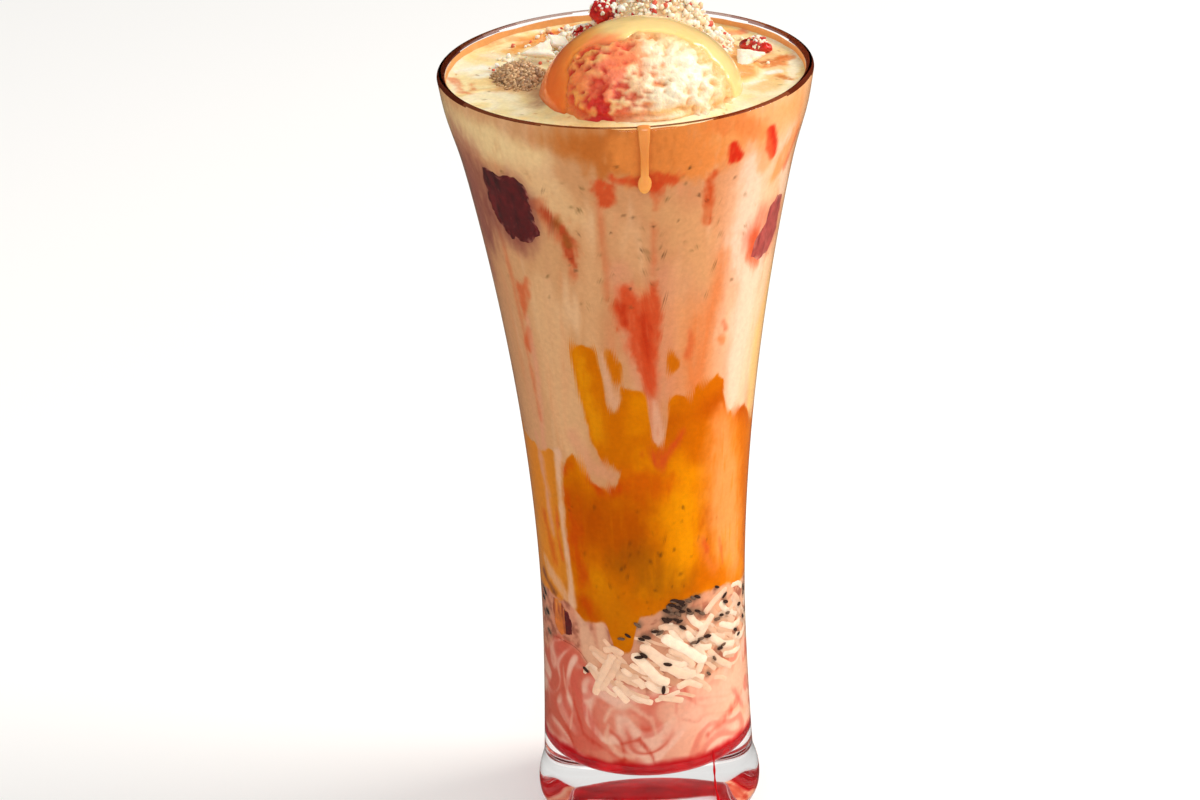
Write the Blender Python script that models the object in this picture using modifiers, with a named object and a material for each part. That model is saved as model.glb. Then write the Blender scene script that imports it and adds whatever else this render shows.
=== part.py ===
"""Falooda in its tall flared glass: syrup, rose milk, noodles with seeds, mango, cream and toppings.

Metres, +Z up. The origin is the middle of the glass's flat base. The front of the drink faces -Y.
An angle round the glass is in degrees from the front, positive towards +X.
"""

import math
import random

import bmesh
import bpy
from mathutils import Matrix, Vector, noise

# Glass
RIM_HEIGHT = 0.196
RIM_RADIUS = 0.045
WAIST_HEIGHT = 0.052
WAIST_RADIUS = 0.0256
FLARE_POWER = 1.87
LOWER_SWELL = 0.00095
SWELL_POWER = 1.6
FOOT_RADIUS = 0.0283
FOOT_MIDDLE = 0.0045
FOOT_CURVE = 45.0
FOOT_TOP = 0.016
FOOT_BLEND = 0.0004
BASE_ROUND = 0.0022
LIP_SWELL = 0.00075
LIP_MIDDLE = 0.187
LIP_SPREAD = 0.008
RIM_WALL = 0.0019
BASE_WALL_EXTRA = 0.0009
INNER_BOTTOM = 0.0159
INNER_CORNER = 0.003

# Layers, by the heights of their boundaries at the wall
GAP = 0.0003
SEAT_GAP = 0.0005
SYRUP_TOP = 0.0194
MILK_TOP = 0.0425
NOODLES_TOP = 0.0615
MANGO_TOP = 0.1050
CREAM_LEVEL = 0.1930
SPOKES = 48
RINGS = 4

# Noodles and soaked seeds at the wall
NOODLE_RADIUS = 0.00075
NOODLE_COUNT = 18
NOODLE_RUN = (14, 26)
NOODLE_RISE = (0.002, 0.010)
NOODLE_BOW = 0.4
SEED_COUNT = 20
SEED_SIZE = (0.0009, 0.0006, 0.0006)
SEED_SPREAD = 0.0035
BED_MARGIN = 0.0016
LEAST_ROOM = 0.003
CORE_INSET = 0.0014
CORE_DROP = 0.0006

# Ice cream scoop
SCOOP_MIDDLE = Vector((0.0036, -0.0110, 0.1900))
SCOOP_RADIUS = 0.0240
SCOOP_HALF_HEIGHT = 0.0200
SCOOP_BOTTOM = 0.1815
CRAG_DEPTH = 0.045

# Heap of crushed nuts behind the scoop
HEAP_MIDDLE = Vector((0.0066, 0.0205, 0.1922))
HEAP_SIZE = (0.0150, 0.0120, 0.0165)
HEAP_TAIL_MIDDLE = Vector((0.0190, 0.0180, 0.1922))
HEAP_TAIL_SIZE = (0.0075, 0.0068, 0.0062)
NUT_BITS = 38
NUT_BIT_SIZE = 0.0016

# Pieces on the cream: name, finish, middle, half sizes, turn about Z in degrees
BALL_TOPPINGS = (
    ("candied_peel_1", "candied_peel", (-0.0040, 0.0185, 0.2035), (0.0042, 0.0034, 0.0036), 20),
    ("candied_peel_2", "candied_peel", (-0.0092, 0.0190, 0.1972), (0.0030, 0.0034, 0.0032), -30),
    ("jelly_piece", "candied_peel", (0.0318, 0.0160, 0.1940), (0.0044, 0.0027, 0.0019), -28),
    ("seed_clump", "seed_clump", (-0.0250, 0.0015, 0.1932), (0.0052, 0.0078, 0.0036), 12),
)

# Nut chips: name, middle, corners of the flat outline, tilts about X, Y and Z in degrees
CHIP_THICKNESS = 0.0012
CHIPS = (
    (
        "nut_chip_1",
        (-0.0205, 0.0135, 0.1955),
        ((-0.0042, 0.0008), (0.0034, 0.0026), (0.0030, -0.0030)),
        (28, -12, 10),
    ),
    (
        "nut_chip_2",
        (-0.0160, 0.0225, 0.1948),
        ((-0.0030, -0.0016), (0.0024, -0.0026), (0.0034, 0.0018), (-0.0012, 0.0028)),
        (20, 14, 40),
    ),
    (
        "nut_chip_3",
        (0.0300, 0.0065, 0.1947),
        ((-0.0034, -0.0042), (0.0034, -0.0004), (-0.0028, 0.0046)),
        (18, -16, 0),
    ),
)

# Bulges of a boundary: angle, half width in degrees, height
MILK_WAVES = ((-55, 20, 0.0075), (20, 26, -0.0015), (95, 30, 0.0030), (-140, 26, 0.0045))
NOODLE_WAVES = (
    (-32, 13, -0.0030),
    (-13, 8, -0.0105),
    (38, 26, 0.0035),
    (112, 9, -0.0080),
    (160, 24, 0.0030),
    (-118, 10, -0.0070),
)
MANGO_WAVES = (
    (-23, 8, 0.0290),
    (-10, 4, 0.0150),
    (-1, 7, 0.0190),
    (20, 7, 0.0190),
    (41, 9, 0.0200),
    (66, 10, 0.0280),
    (-64, 9, 0.0020),
    (98, 8, 0.0160),
    (122, 8, 0.0270),
    (150, 10, 0.0130),
    (177, 9, 0.0240),
    (-155, 8, 0.0150),
    (-128, 9, 0.0260),
    (-98, 9, 0.0110),
)

# Name: material colour, roughness, metallic
FINISHES = {
    "glass": ((0.90, 0.94, 0.95), 0.03, 0.0),
    "rose_syrup": ((0.62, 0.02, 0.03), 0.15, 0.0),
    "rose_milk": ((0.90, 0.50, 0.44), 0.35, 0.0),
    "falooda_noodles": ((0.86, 0.74, 0.62), 0.35, 0.0),
    "mango_layer": ((0.93, 0.44, 0.06), 0.30, 0.0),
    "cream_layer": ((0.95, 0.80, 0.58), 0.35, 0.0),
    "ice_cream_scoop": ((0.95, 0.66, 0.34), 0.40, 0.0),
    "nut_heap": ((0.95, 0.84, 0.68), 0.60, 0.0),
    "seed_clump": ((0.42, 0.33, 0.26), 0.35, 0.0),
    "fruit": ((0.24, 0.03, 0.05), 0.25, 0.0),
    "candied_peel": ((0.66, 0.04, 0.03), 0.25, 0.0),
    "nut_flake": ((0.96, 0.90, 0.78), 0.50, 0.0),
}


def clear_scene():
    for obj in list(bpy.data.objects):
        bpy.data.objects.remove(obj, do_unlink=True)
    for name in ("falooda", "cutters"):
        bpy.context.scene.collection.children.link(bpy.data.collections.new(name))


def finish(name):
    """The Principled material of this name, made once."""
    known = bpy.data.materials.get(name)
    if known:
        return known
    colour, roughness, metallic = FINISHES[name]
    material = bpy.data.materials.new(name)
    material.use_nodes = True
    shader = material.node_tree.nodes["Principled BSDF"]
    shader.inputs["Base Color"].default_value = (*colour, 1.0)
    shader.inputs["Roughness"].default_value = roughness
    shader.inputs["Metallic"].default_value = metallic
    return material


def add_object(name, mesh, material=None, cutter=False):
    obj = bpy.data.objects.new(name, mesh)
    bpy.data.collections["cutters" if cutter else "falooda"].objects.link(obj)
    if material:
        mesh.materials.append(finish(material))
    if cutter:
        obj.hide_render = True
        obj.display_type = "WIRE"
    return obj


def from_bmesh(name, made, material=None):
    mesh = bpy.data.meshes.new(name)
    made.to_mesh(mesh)
    made.free()
    return add_object(name, mesh, material)


def evaluated_mesh(obj):
    """A new mesh of the object with its modifiers applied."""
    graph = bpy.context.evaluated_depsgraph_get()
    return bpy.data.meshes.new_from_object(obj.evaluated_get(graph))


def apply_modifiers(obj):
    mesh = evaluated_mesh(obj)
    obj.modifiers.clear()
    obj.data = mesh


def smooth(obj):
    obj.data.shade_smooth()
    obj.data.set_sharp_from_angle(angle=math.radians(40))


def turned(name, profile, material=None):
    """An object turned from (radius, height) points, which end on the axis at both ends."""
    made = bmesh.new()
    points = [made.verts.new((radius, 0, height)) for radius, height in profile]
    for first, second in zip(points, points[1:]):
        made.edges.new((first, second))
    obj = from_bmesh(name, made, material)
    screw = obj.modifiers.new("Turn", "SCREW")
    screw.steps = SPOKES
    screw.render_steps = SPOKES
    screw.use_merge_vertices = True
    screw.merge_threshold = 0.00001
    return obj


def bulge(angle, middle, half_width):
    """1 at the middle angle, falling steeply to 0 past the half width."""
    away = (angle - middle + 180) % 360 - 180
    return math.exp(-((away / half_width) ** 4))


def outer_radius(height):
    flare = max(height - WAIST_HEIGHT, 0) / (RIM_HEIGHT - WAIST_HEIGHT)
    settle = max(WAIST_HEIGHT - height, 0) / (WAIST_HEIGHT - INNER_BOTTOM)
    body = WAIST_RADIUS + (RIM_RADIUS - WAIST_RADIUS) * flare**FLARE_POWER
    body += LOWER_SWELL * settle**SWELL_POWER
    lip = math.exp(-(((height - LIP_MIDDLE) / LIP_SPREAD) ** 2))
    body += LIP_SWELL * (lip - flare**8 * math.exp(-(((RIM_HEIGHT - LIP_MIDDLE) / LIP_SPREAD) ** 2)))
    if height < FOOT_TOP:
        foot = FOOT_RADIUS - FOOT_CURVE * (height - FOOT_MIDDLE) ** 2
        body = FOOT_BLEND * math.log(math.exp(body / FOOT_BLEND) + math.exp(foot / FOOT_BLEND))
    if height < BASE_ROUND:
        body -= BASE_ROUND - math.sqrt(BASE_ROUND**2 - (BASE_ROUND - height) ** 2)
    return body


def wall(height):
    return RIM_WALL + BASE_WALL_EXTRA * (1 - height / RIM_HEIGHT) ** 1.5


def cavity_radius(height):
    """The inside of the glass, with its rounded bottom corner."""
    radius = outer_radius(max(height, FOOT_TOP)) - wall(height)
    up = max(height - INNER_BOTTOM, 0)
    if up < INNER_CORNER:
        radius -= INNER_CORNER - math.sqrt(INNER_CORNER**2 - (INNER_CORNER - up) ** 2)
    return radius


def waved(level, waves, angle):
    return level + sum(height * bulge(angle, middle, half) for middle, half, height in waves)


def milk_top(angle, share):
    return MILK_TOP + (waved(0, MILK_WAVES, angle)) * share**2


def noodles_top(angle, share):
    return NOODLES_TOP + waved(0, NOODLE_WAVES, angle) * share**3


def mango_top(angle, share):
    """The mango stands in columns at the wall, and the cream runs down between them."""
    return MANGO_TOP + 0.006 * (1 - share) + waved(0, MANGO_WAVES, angle) * share**4


def cream_top(angle, share):
    place = Vector((share * math.sin(math.radians(angle)), share * math.cos(math.radians(angle)), 0))
    return CREAM_LEVEL + 0.0005 * noise.noise(place * 4.0) * (1 - share**4)


def layer(name, material, floor, ceiling, levels, inset=0.0):
    """A turned plug that fills the glass between two boundaries, each a function of angle and share
    of the radius. It keeps a gap to the wall and half a gap to each boundary. Neighbours share their
    rings and are split into triangles alike, so that their faces stay apart. An inset makes it slimmer."""
    across = [ring / RINGS for ring in range(RINGS + 1)]
    top = [(share, 1.0) for share in across]
    side = [(1.0, 1 - level / levels) for level in range(1, levels)]
    bottom = [(share, 0.0) for share in reversed(across)]
    obj = turned(name, top + side + bottom, material)
    apply_modifiers(obj)
    for vertex in obj.data.vertices:
        share = math.hypot(vertex.co.x, vertex.co.y)
        angle = math.degrees(math.atan2(vertex.co.x, -vertex.co.y)) if share > 0.001 else 0.0
        low = floor(angle, share) + GAP / 2
        high = ceiling(angle, share) - GAP / 2
        height = low + (high - low) * vertex.co.z
        radius = cavity_radius(height) - GAP - inset
        vertex.co = (vertex.co.x * radius, vertex.co.y * radius, height)
    made = bmesh.new()
    made.from_mesh(obj.data)
    bmesh.ops.triangulate(made, faces=made.faces, quad_method="SHORT_EDGE")
    made.to_mesh(obj.data)
    made.free()
    smooth(obj)
    return obj


def at_wall(angle, height, inset):
    """A point this far inside the wall of the cavity."""
    radius = cavity_radius(height) - inset
    turn = math.radians(angle)
    return Vector((radius * math.sin(turn), -radius * math.cos(turn), height))


def boolean(obj, other, operation):
    """Joins or cuts with one object or a collection, and applies it."""
    modifier = obj.modifiers.new("Fit", "BOOLEAN")
    modifier.operation = operation
    modifier.solver = "EXACT"
    if isinstance(other, bpy.types.Collection):
        modifier.operand_type = "COLLECTION"
        modifier.collection = other
    else:
        modifier.object = other
    apply_modifiers(obj)


def keep_largest(obj):
    """Drops the loose scraps that a cut leaves."""
    made = bmesh.new()
    made.from_mesh(obj.data)
    unseen = set(made.verts)
    islands = []
    while unseen:
        island = [unseen.pop()]
        for vertex in island:
            for edge in vertex.link_edges:
                other = edge.other_vert(vertex)
                if other in unseen:
                    unseen.remove(other)
                    island.append(other)
        islands.append(island)
    islands.sort(key=len)
    for island in islands[:-1]:
        bmesh.ops.delete(made, geom=island, context="VERTS")
    made.to_mesh(obj.data)
    made.free()


def fuse(core, pieces):
    """One union of a core with its pieces, which are then removed."""
    group = bpy.data.collections.new(core.name + "_pieces")
    bpy.context.scene.collection.children.link(group)
    for piece in pieces:
        group.objects.link(piece)
    boolean(core, group, "UNION")
    for piece in pieces:
        bpy.data.objects.remove(piece, do_unlink=True)
    bpy.data.collections.remove(group)
    keep_largest(core)


def grown(obj, by):
    """A cutter: a copy of the object with its surface moved out by this much."""
    mesh = obj.data.copy()
    for vertex, normal in zip(mesh.vertices, [Vector(n.vector) for n in obj.data.vertex_normals]):
        vertex.co += normal * by
    return add_object(obj.name + "_seat", mesh, cutter=True)


def seat(obj, *others):
    """Cuts room for each of the others, with the usual gap."""
    for other in others:
        boolean(obj, grown(other, SEAT_GAP), "DIFFERENCE")


def uneven_ball(name, middle, size, material=None, turn=0.0, detail=2, rough=0.15, grain=3.5):
    """A ball with its own half sizes, turned about Z, whose surface wanders by a share of its size."""
    made = bmesh.new()
    bmesh.ops.create_icosphere(made, subdivisions=detail, radius=1.0)
    offset = Vector((middle[0], middle[1], middle[2])) * 900
    for vertex in made.verts:
        vertex.co *= 1 + rough * noise.noise(vertex.co * grain * 0.5 + offset)
    turned_size = Matrix.Rotation(math.radians(turn), 4, "Z") @ Matrix.Diagonal((*size, 1))
    made.transform(Matrix.Translation(middle) @ turned_size)
    obj = from_bmesh(name, made, material)
    smooth(obj)
    return obj


def make_glass():
    lip = RIM_WALL / 2
    heights = [0.022, 0.035, 0.056, 0.078, 0.100, 0.122, 0.144, 0.164, 0.180, 0.189]
    foot = [0.0130, 0.0105, 0.0080, 0.0045, 0.0020, 0.0006, 0.0]
    corner = [1 - math.cos(math.radians(turn)) for turn in (0, 20, 45, 65, 90)]
    corner = [INNER_BOTTOM + INNER_CORNER * rise for rise in corner]
    shoulder = RIM_HEIGHT - lip
    profile = [(0.0, INNER_BOTTOM)]
    profile += [(cavity_radius(height), height) for height in corner + heights + [shoulder]]
    profile += [(outer_radius(RIM_HEIGHT) - lip, RIM_HEIGHT)]
    profile += [(outer_radius(height), height) for height in [shoulder] + heights[::-1] + foot]
    profile += [(0.0, 0.0)]
    smooth(turned("glass", profile, "glass"))


def fruit_piece(name, angle, height, size, turn):
    """A piece of fruit that lies against the wall: a ball cut back to the shape of the cavity."""
    inset = size[1] * 0.55
    middle = at_wall(angle, height, inset)
    piece = uneven_ball(name, middle, size, "fruit", turn=angle + turn, rough=0.22, grain=2.2)
    plug = layer(name + "_room", None, lambda a, s: height - 0.02, lambda a, s: height + 0.02, 8)
    boolean(piece, plug, "INTERSECT")
    bpy.data.objects.remove(plug, do_unlink=True)
    smooth(piece)
    return piece


def noodle(start_angle, start_height, run_angle, run_height, bow):
    """A short soft noodle that hugs the wall, bowed to one side."""
    inset = GAP + NOODLE_RADIUS + 0.0001
    curve = bpy.data.curves.new("noodle", "CURVE")
    curve.dimensions = "3D"
    curve.bevel_depth = NOODLE_RADIUS
    curve.bevel_resolution = 1
    curve.use_fill_caps = True
    steps = 4
    spline = curve.splines.new("POLY")
    spline.points.add(steps)
    for step, point in enumerate(spline.points):
        share = step / steps
        lean = bow * math.sin(math.pi * share)
        angle = start_angle + run_angle * share + lean * 14
        place = at_wall(angle, start_height + run_height * share, inset)
        place.z += lean * 0.0015
        point.co = (*place, 1.0)
    source = bpy.data.objects.new("noodle", curve)
    bpy.context.scene.collection.objects.link(source)
    mesh = evaluated_mesh(source)
    bpy.data.objects.remove(source, do_unlink=True)
    made = bmesh.new()
    made.from_mesh(mesh)
    bmesh.ops.remove_doubles(made, verts=made.verts, dist=0.00001)
    return from_bmesh("noodle", made)


def make_noodles():
    """A core with short noodles and soaked seeds fused on where they show at the wall."""
    draw = random.Random(7)

    def core_top(angle, share):
        return noodles_top(angle, share) - CORE_DROP

    def highest_milk(*angles):
        return max(milk_top(angle + side, 1) for angle in angles for side in (-6, 0, 6))

    def lowest_mango(*angles):
        return min(noodles_top(angle + side, 1) for angle in angles for side in (-6, 0, 6))

    core = layer("falooda_noodles", "falooda_noodles", milk_top, core_top, 3, CORE_INSET)
    pieces = []
    for index in range(NOODLE_COUNT):
        angle = -168 + index * 360 / NOODLE_COUNT + draw.uniform(-4, 4)
        run = draw.choice((-1, 1)) * draw.uniform(*NOODLE_RUN)
        low = highest_milk(angle, angle + run / 2, angle + run) + BED_MARGIN
        high = lowest_mango(angle, angle + run / 2, angle + run) - BED_MARGIN - CORE_DROP / 2
        if high - low < LEAST_ROOM:
            continue
        first = draw.uniform(low, low + (high - low) * 0.55)
        last = min(high, first + draw.uniform(*NOODLE_RISE))
        pieces.append(noodle(angle, first, run, last - first, draw.uniform(-NOODLE_BOW, NOODLE_BOW)))
    for index in range(SEED_COUNT):
        angle = -175 + index * 360 / SEED_COUNT + draw.uniform(-3, 3)
        height = lowest_mango(angle) - BED_MARGIN - abs(draw.gauss(0, SEED_SPREAD))
        if height < highest_milk(angle) + BED_MARGIN:
            continue
        spin = draw.uniform(0, 360)
        made = bmesh.new()
        bmesh.ops.create_uvsphere(made, u_segments=5, v_segments=3, radius=1.0)
        tilt = Matrix.Rotation(math.radians(angle), 4, "Z") @ Matrix.Rotation(math.radians(spin), 4, "Y")
        place = Matrix.Translation(at_wall(angle, height, GAP + SEED_SIZE[1] + 0.0002))
        made.transform(place @ tilt @ Matrix.Diagonal((*SEED_SIZE, 1)))
        pieces.append(from_bmesh("seed", made))
    fuse(core, pieces)
    return core


def make_scoop():
    """A dome of ice cream, craggy on its right and smooth under the glaze on its left."""
    made = bmesh.new()
    bmesh.ops.create_icosphere(made, subdivisions=4, radius=1.0)
    bmesh.ops.delete(made, geom=[v for v in made.verts if v.co.z < -0.55], context="VERTS")
    rim = [edge for edge in made.edges if edge.is_boundary]
    bmesh.ops.contextual_create(made, geom=rim)
    bmesh.ops.triangulate(made, faces=[face for face in made.faces if len(face.verts) > 3])
    for vertex in made.verts:
        crag = 0.5 + 0.5 * math.tanh(vertex.co.x * 2.5)
        wander = noise.noise(vertex.co * 5) * CRAG_DEPTH + noise.noise(vertex.co * 11) * CRAG_DEPTH / 2
        vertex.co *= 1 + wander * crag + 0.012 * noise.noise(vertex.co * 1.8)
    made.transform(Matrix.Diagonal((SCOOP_RADIUS, SCOOP_RADIUS, SCOOP_HALF_HEIGHT, 1)))
    made.transform(Matrix.Translation(SCOOP_MIDDLE))
    for vertex in made.verts:
        vertex.co.z = max(vertex.co.z, SCOOP_BOTTOM)
    scoop = from_bmesh("ice_cream_scoop", made, "ice_cream_scoop")
    decimate = scoop.modifiers.new("Lighten", "DECIMATE")
    decimate.ratio = 0.5
    apply_modifiers(scoop)
    smooth(scoop)
    return scoop


def make_heap():
    """A bare heap with bits of nut fused all over it, and a low tail to its right."""
    draw = random.Random(11)
    core = uneven_ball("nut_heap", HEAP_MIDDLE, HEAP_SIZE, "nut_heap", rough=0.16, grain=2.5)
    tail = uneven_ball("tail", HEAP_TAIL_MIDDLE, HEAP_TAIL_SIZE, turn=-25, rough=0.2, grain=2.5)
    fuse(core, [tail])
    for vertex in core.data.vertices:
        vertex.co.z = max(vertex.co.z, CREAM_LEVEL - 0.0018)
    bare = core.data.copy()
    pieces = []
    for index in range(NUT_BITS):
        turn = index * math.radians(137.5)
        lift = math.asin(min(0.16 + 0.84 * index / NUT_BITS, 1.0))
        on_tail = index % 4 == 3
        middle = HEAP_TAIL_MIDDLE if on_tail else HEAP_MIDDLE
        size = HEAP_TAIL_SIZE if on_tail else HEAP_SIZE
        away = Vector((math.cos(turn) * math.cos(lift), math.sin(turn) * math.cos(lift), math.sin(lift)))
        place = middle + Vector([a * s for a, s in zip(away, size)])
        place.z = max(place.z, CREAM_LEVEL + 2.2 * NUT_BIT_SIZE)
        bits = [NUT_BIT_SIZE * draw.uniform(0.7, 1.4) for _ in range(3)]
        spin = draw.uniform(0, 180)
        pieces.append(uneven_ball("bit", place, bits, turn=spin, detail=1, rough=0.5, grain=9))
    fuse(core, pieces)
    smooth(core)
    return core, add_object("heap_room", bare, cutter=True)


def flake(name, middle, corners, thickness, tilt, material):
    """A thin chip of nut: a flat outline of a few corners, tilted on what it lies on."""
    curve = bpy.data.curves.new(name, "CURVE")
    curve.dimensions = "2D"
    curve.fill_mode = "BOTH"
    curve.extrude = thickness / 2
    spline = curve.splines.new("POLY")
    spline.points.add(len(corners) - 1)
    spline.use_cyclic_u = True
    for point, (across, along) in zip(spline.points, corners):
        point.co = (across, along, 0, 1)
    source = bpy.data.objects.new(name + "_outline", curve)
    bpy.context.scene.collection.objects.link(source)
    mesh = evaluated_mesh(source)
    bpy.data.objects.remove(source, do_unlink=True)
    made = bmesh.new()
    made.from_mesh(mesh)
    bmesh.ops.remove_doubles(made, verts=made.verts, dist=0.00001)
    turn = Matrix.Rotation(math.radians(tilt[2]), 4, "Z") @ Matrix.Rotation(math.radians(tilt[1]), 4, "Y")
    made.transform(Matrix.Translation(middle) @ turn @ Matrix.Rotation(math.radians(tilt[0]), 4, "X"))
    obj = from_bmesh(name, made, material)
    bevel = obj.modifiers.new("Soft edge", "BEVEL")
    bevel.width = thickness * 0.3
    bevel.segments = 1
    apply_modifiers(obj)
    return obj


def make_toppings(scoop):
    """The pieces that lie on the cream beside the scoop. Each is sunk a little into it.
    Gives the cutters that the cream needs, then the pieces that it needs room for."""
    heap, heap_room = make_heap()
    pieces = {}
    for name, finish_name, middle, size, turn in BALL_TOPPINGS:
        pieces[name] = uneven_ball(name, middle, size, finish_name, turn)
    for name, middle, corners, tilt in CHIPS:
        pieces[name] = flake(name, middle, corners, CHIP_THICKNESS, tilt, "nut_flake")
    seat(heap, scoop, pieces["candied_peel_1"], pieces["candied_peel_2"])
    keep_largest(heap)
    seat(pieces["candied_peel_2"], scoop)
    seat(pieces["seed_clump"], scoop)
    seat(pieces["nut_chip_1"], pieces["seed_clump"])
    return [heap_room], list(pieces.values())


def main():
    clear_scene()
    make_glass()
    layer("rose_syrup", "rose_syrup", lambda a, s: INNER_BOTTOM + GAP / 2, lambda a, s: SYRUP_TOP, 3)
    milk = layer("rose_milk", "rose_milk", lambda a, s: SYRUP_TOP, milk_top, 4)
    noodles = make_noodles()
    mango = layer("mango_layer", "mango_layer", noodles_top, mango_top, 6)
    cream = layer("cream_layer", "cream_layer", mango_top, cream_top, 8)
    low_fruit = fruit_piece("fruit_low", -58, 0.0560, (0.0052, 0.0040, 0.0043), -6)
    left_fruit = fruit_piece("fruit_left", -48, 0.1710, (0.0088, 0.0075, 0.0098), 0)
    right_fruit = fruit_piece("fruit_right", 64, 0.1598, (0.0075, 0.0065, 0.0086), 0)
    seat(milk, low_fruit)
    seat(noodles, low_fruit)
    keep_largest(noodles)
    seat(mango, low_fruit)
    seat(cream, left_fruit, right_fruit)
    scoop = make_scoop()
    rooms, toppings = make_toppings(scoop)
    seat(cream, scoop, *rooms, *toppings)
    for obj in (milk, noodles, mango, cream):
        smooth(obj)


main()
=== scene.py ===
"""The looks of the falooda: its glass, the layers seen through the wall, scoop, sauces and toppings.

Tables and painting work in millimetres and in degrees round the glass from the front (-Y) towards +X.
Meshes are in metres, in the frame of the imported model.
"""

import math
import random

import bmesh
import bpy
import numpy as np
from mathutils import Matrix, Vector

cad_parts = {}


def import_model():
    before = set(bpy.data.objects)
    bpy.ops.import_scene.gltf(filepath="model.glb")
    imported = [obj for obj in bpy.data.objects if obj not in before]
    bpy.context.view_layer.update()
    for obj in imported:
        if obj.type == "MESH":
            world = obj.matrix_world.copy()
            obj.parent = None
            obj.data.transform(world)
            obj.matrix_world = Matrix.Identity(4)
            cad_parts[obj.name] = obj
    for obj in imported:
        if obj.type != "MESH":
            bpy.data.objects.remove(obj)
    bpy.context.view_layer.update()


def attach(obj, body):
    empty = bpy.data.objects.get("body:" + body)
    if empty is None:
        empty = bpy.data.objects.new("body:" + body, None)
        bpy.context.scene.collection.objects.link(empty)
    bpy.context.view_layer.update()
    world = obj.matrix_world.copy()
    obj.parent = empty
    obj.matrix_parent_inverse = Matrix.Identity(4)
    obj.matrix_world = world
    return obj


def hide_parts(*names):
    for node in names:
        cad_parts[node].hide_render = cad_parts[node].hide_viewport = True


MM = 0.001

# Glass, as in the part's source
RIM_HEIGHT = 196.0
RIM_RADIUS = 45.0
WAIST_HEIGHT = 52.0
WAIST_RADIUS = 25.6
FLARE_POWER = 1.87
LOWER_SWELL = 0.95
SWELL_POWER = 1.6
FOOT_RADIUS = 28.3
FOOT_MIDDLE = 4.5
FOOT_CURVE = 0.045
FOOT_TOP = 16.0
FOOT_BLEND = 0.4
BASE_ROUND = 2.2
LIP_SWELL = 0.75
LIP_MIDDLE = 187.0
LIP_SPREAD = 8.0
RIM_WALL = 1.9
BASE_WALL_EXTRA = 0.9
INNER_BOTTOM = 15.9
INNER_CORNER = 3.0

# The shallow hollow under the foot, which throws the syrup's red into it
PUNT_RADIUS = 25.0
PUNT_HEIGHT = 6.5
PUNT_POWER = 1.2

# Sides of the glass's mesh, and the refraction that its layers and liquid show together
GLASS_SIDES = 192
GLASS_IOR = 1.33

# The rim's dark line, painted shade that is paler towards the back: angle from the front where each shade
# ends, its colour
RIM_PAINTED_SHADES = (
    (28, (0.36, 0.23, 0.19)),
    (58, (0.26, 0.13, 0.12)),
    (114, (0.14, 0.05, 0.05)),
    (128, (0.22, 0.11, 0.10)),
    (142, (0.34, 0.21, 0.19)),
    (181, (0.46, 0.33, 0.29)),
)

# Layers, as in the part's source
SYRUP_TOP = 19.4
MILK_TOP = 42.5
NOODLES_TOP = 61.5
MANGO_TOP = 105.0
MANGO_CROWN = 6.0
CREAM_LEVEL = 193.0
MILK_WAVES = ((-55, 20, 7.5), (20, 26, -1.5), (95, 30, 3.0), (-140, 26, 4.5))
NOODLE_WAVES = (
    (-32, 13, -3.0), (-13, 8, -10.5), (38, 26, 3.5), (112, 9, -8.0), (160, 24, 3.0), (-118, 10, -7.0),
)
MANGO_WAVES = (
    (-23, 8, 29.0), (-10, 4, 15.0), (-1, 7, 19.0), (20, 7, 19.0), (41, 9, 20.0), (66, 10, 28.0),
    (-64, 9, 2.0), (98, 8, 16.0), (122, 8, 27.0), (150, 10, 13.0), (177, 9, 24.0), (-155, 8, 15.0),
    (-128, 9, 26.0), (-98, 9, 11.0),
)

# How the contents meet the wall: rings of this many points, and the size of a painted cell
SPOKES = 400
SPOKE_ANGLES = np.arange(SPOKES) * 360 / SPOKES - 180
CELL = 0.5
SKIN_REACH = 0.15
LAYER_GAP = 0.01
END_SHARES = (0.3, 0.65, 0.93)

# The unrolled wall: millimetres to a degree, and the angle left of the front where it is cut open
WALL_SCALE = 0.6
CUT_ANGLE = 92

# The film of cream above the level
FILM_BOTTOM = 192.2
FILM_TOP = 195.0
FILM_REACH = 0.14

# Farther than any place in a picture
FAR = 1e9

# Scoop and heap
SCOOP_MIDDLE = np.array((3.6, -11.0, 190.0))
SCOOP_SIZE = np.array((24.0, 24.0, 20.0))
SCOOP_BOTTOM = 181.5
SCOOP_FOOT = 23.6
HEAP_MIDDLE = np.array((6.6, 20.5, 192.2))
HEAP_SIZE = np.array((15.0, 12.0, 16.5))
TAIL_MIDDLE = np.array((19.0, 18.0, 192.2))
TAIL_SIZE = np.array((7.5, 6.8, 6.2))

# Colours as they look in daylight, 0 to 255
CREAM = (226, 186, 138)
CREAM_PALE = (255, 240, 218)
CREAM_WARM = (240, 200, 150)
CREAM_YELLOW = (255, 226, 150)
PINK = (232, 168, 132)
PINK_PALE = (240, 196, 164)
PEACH = (255, 168, 96)
CARAMEL = (206, 120, 48)
CARAMEL_PALE = (242, 184, 112)
ORANGE_STREAK = (236, 136, 66)
RED_STREAK = (222, 82, 38)
RED_BRIGHT = (220, 48, 24)
MANGO = (218, 122, 0)
MANGO_DEEP = (190, 84, 0)
MANGO_BRIGHT = (252, 168, 0)
MANGO_PEACH = (253, 180, 106)
MANGO_RED = (206, 66, 6)
MANGO_OLIVE = (146, 88, 8)
MANGO_YELLOW = (246, 172, 10)
MILK_PALE = (252, 208, 184)
MILK_RED = (204, 62, 44)
NOODLE = (255, 224, 196)
# Painted shade in the gaps between the noodles
NOODLE_GAP_SHADE = (156, 92, 74)
SYRUP = (186, 0, 12)
FRUIT_EDGE = (134, 70, 66)
SPECK = (104, 88, 48)
GREY = (152, 128, 108)


def scene_colour(colour):
    """Linear light from a colour of 0 to 255."""
    value = np.asarray(colour, float) / 255
    return np.where(value <= 0.04045, value / 12.92, ((value + 0.055) / 1.055) ** 2.4)


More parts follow.
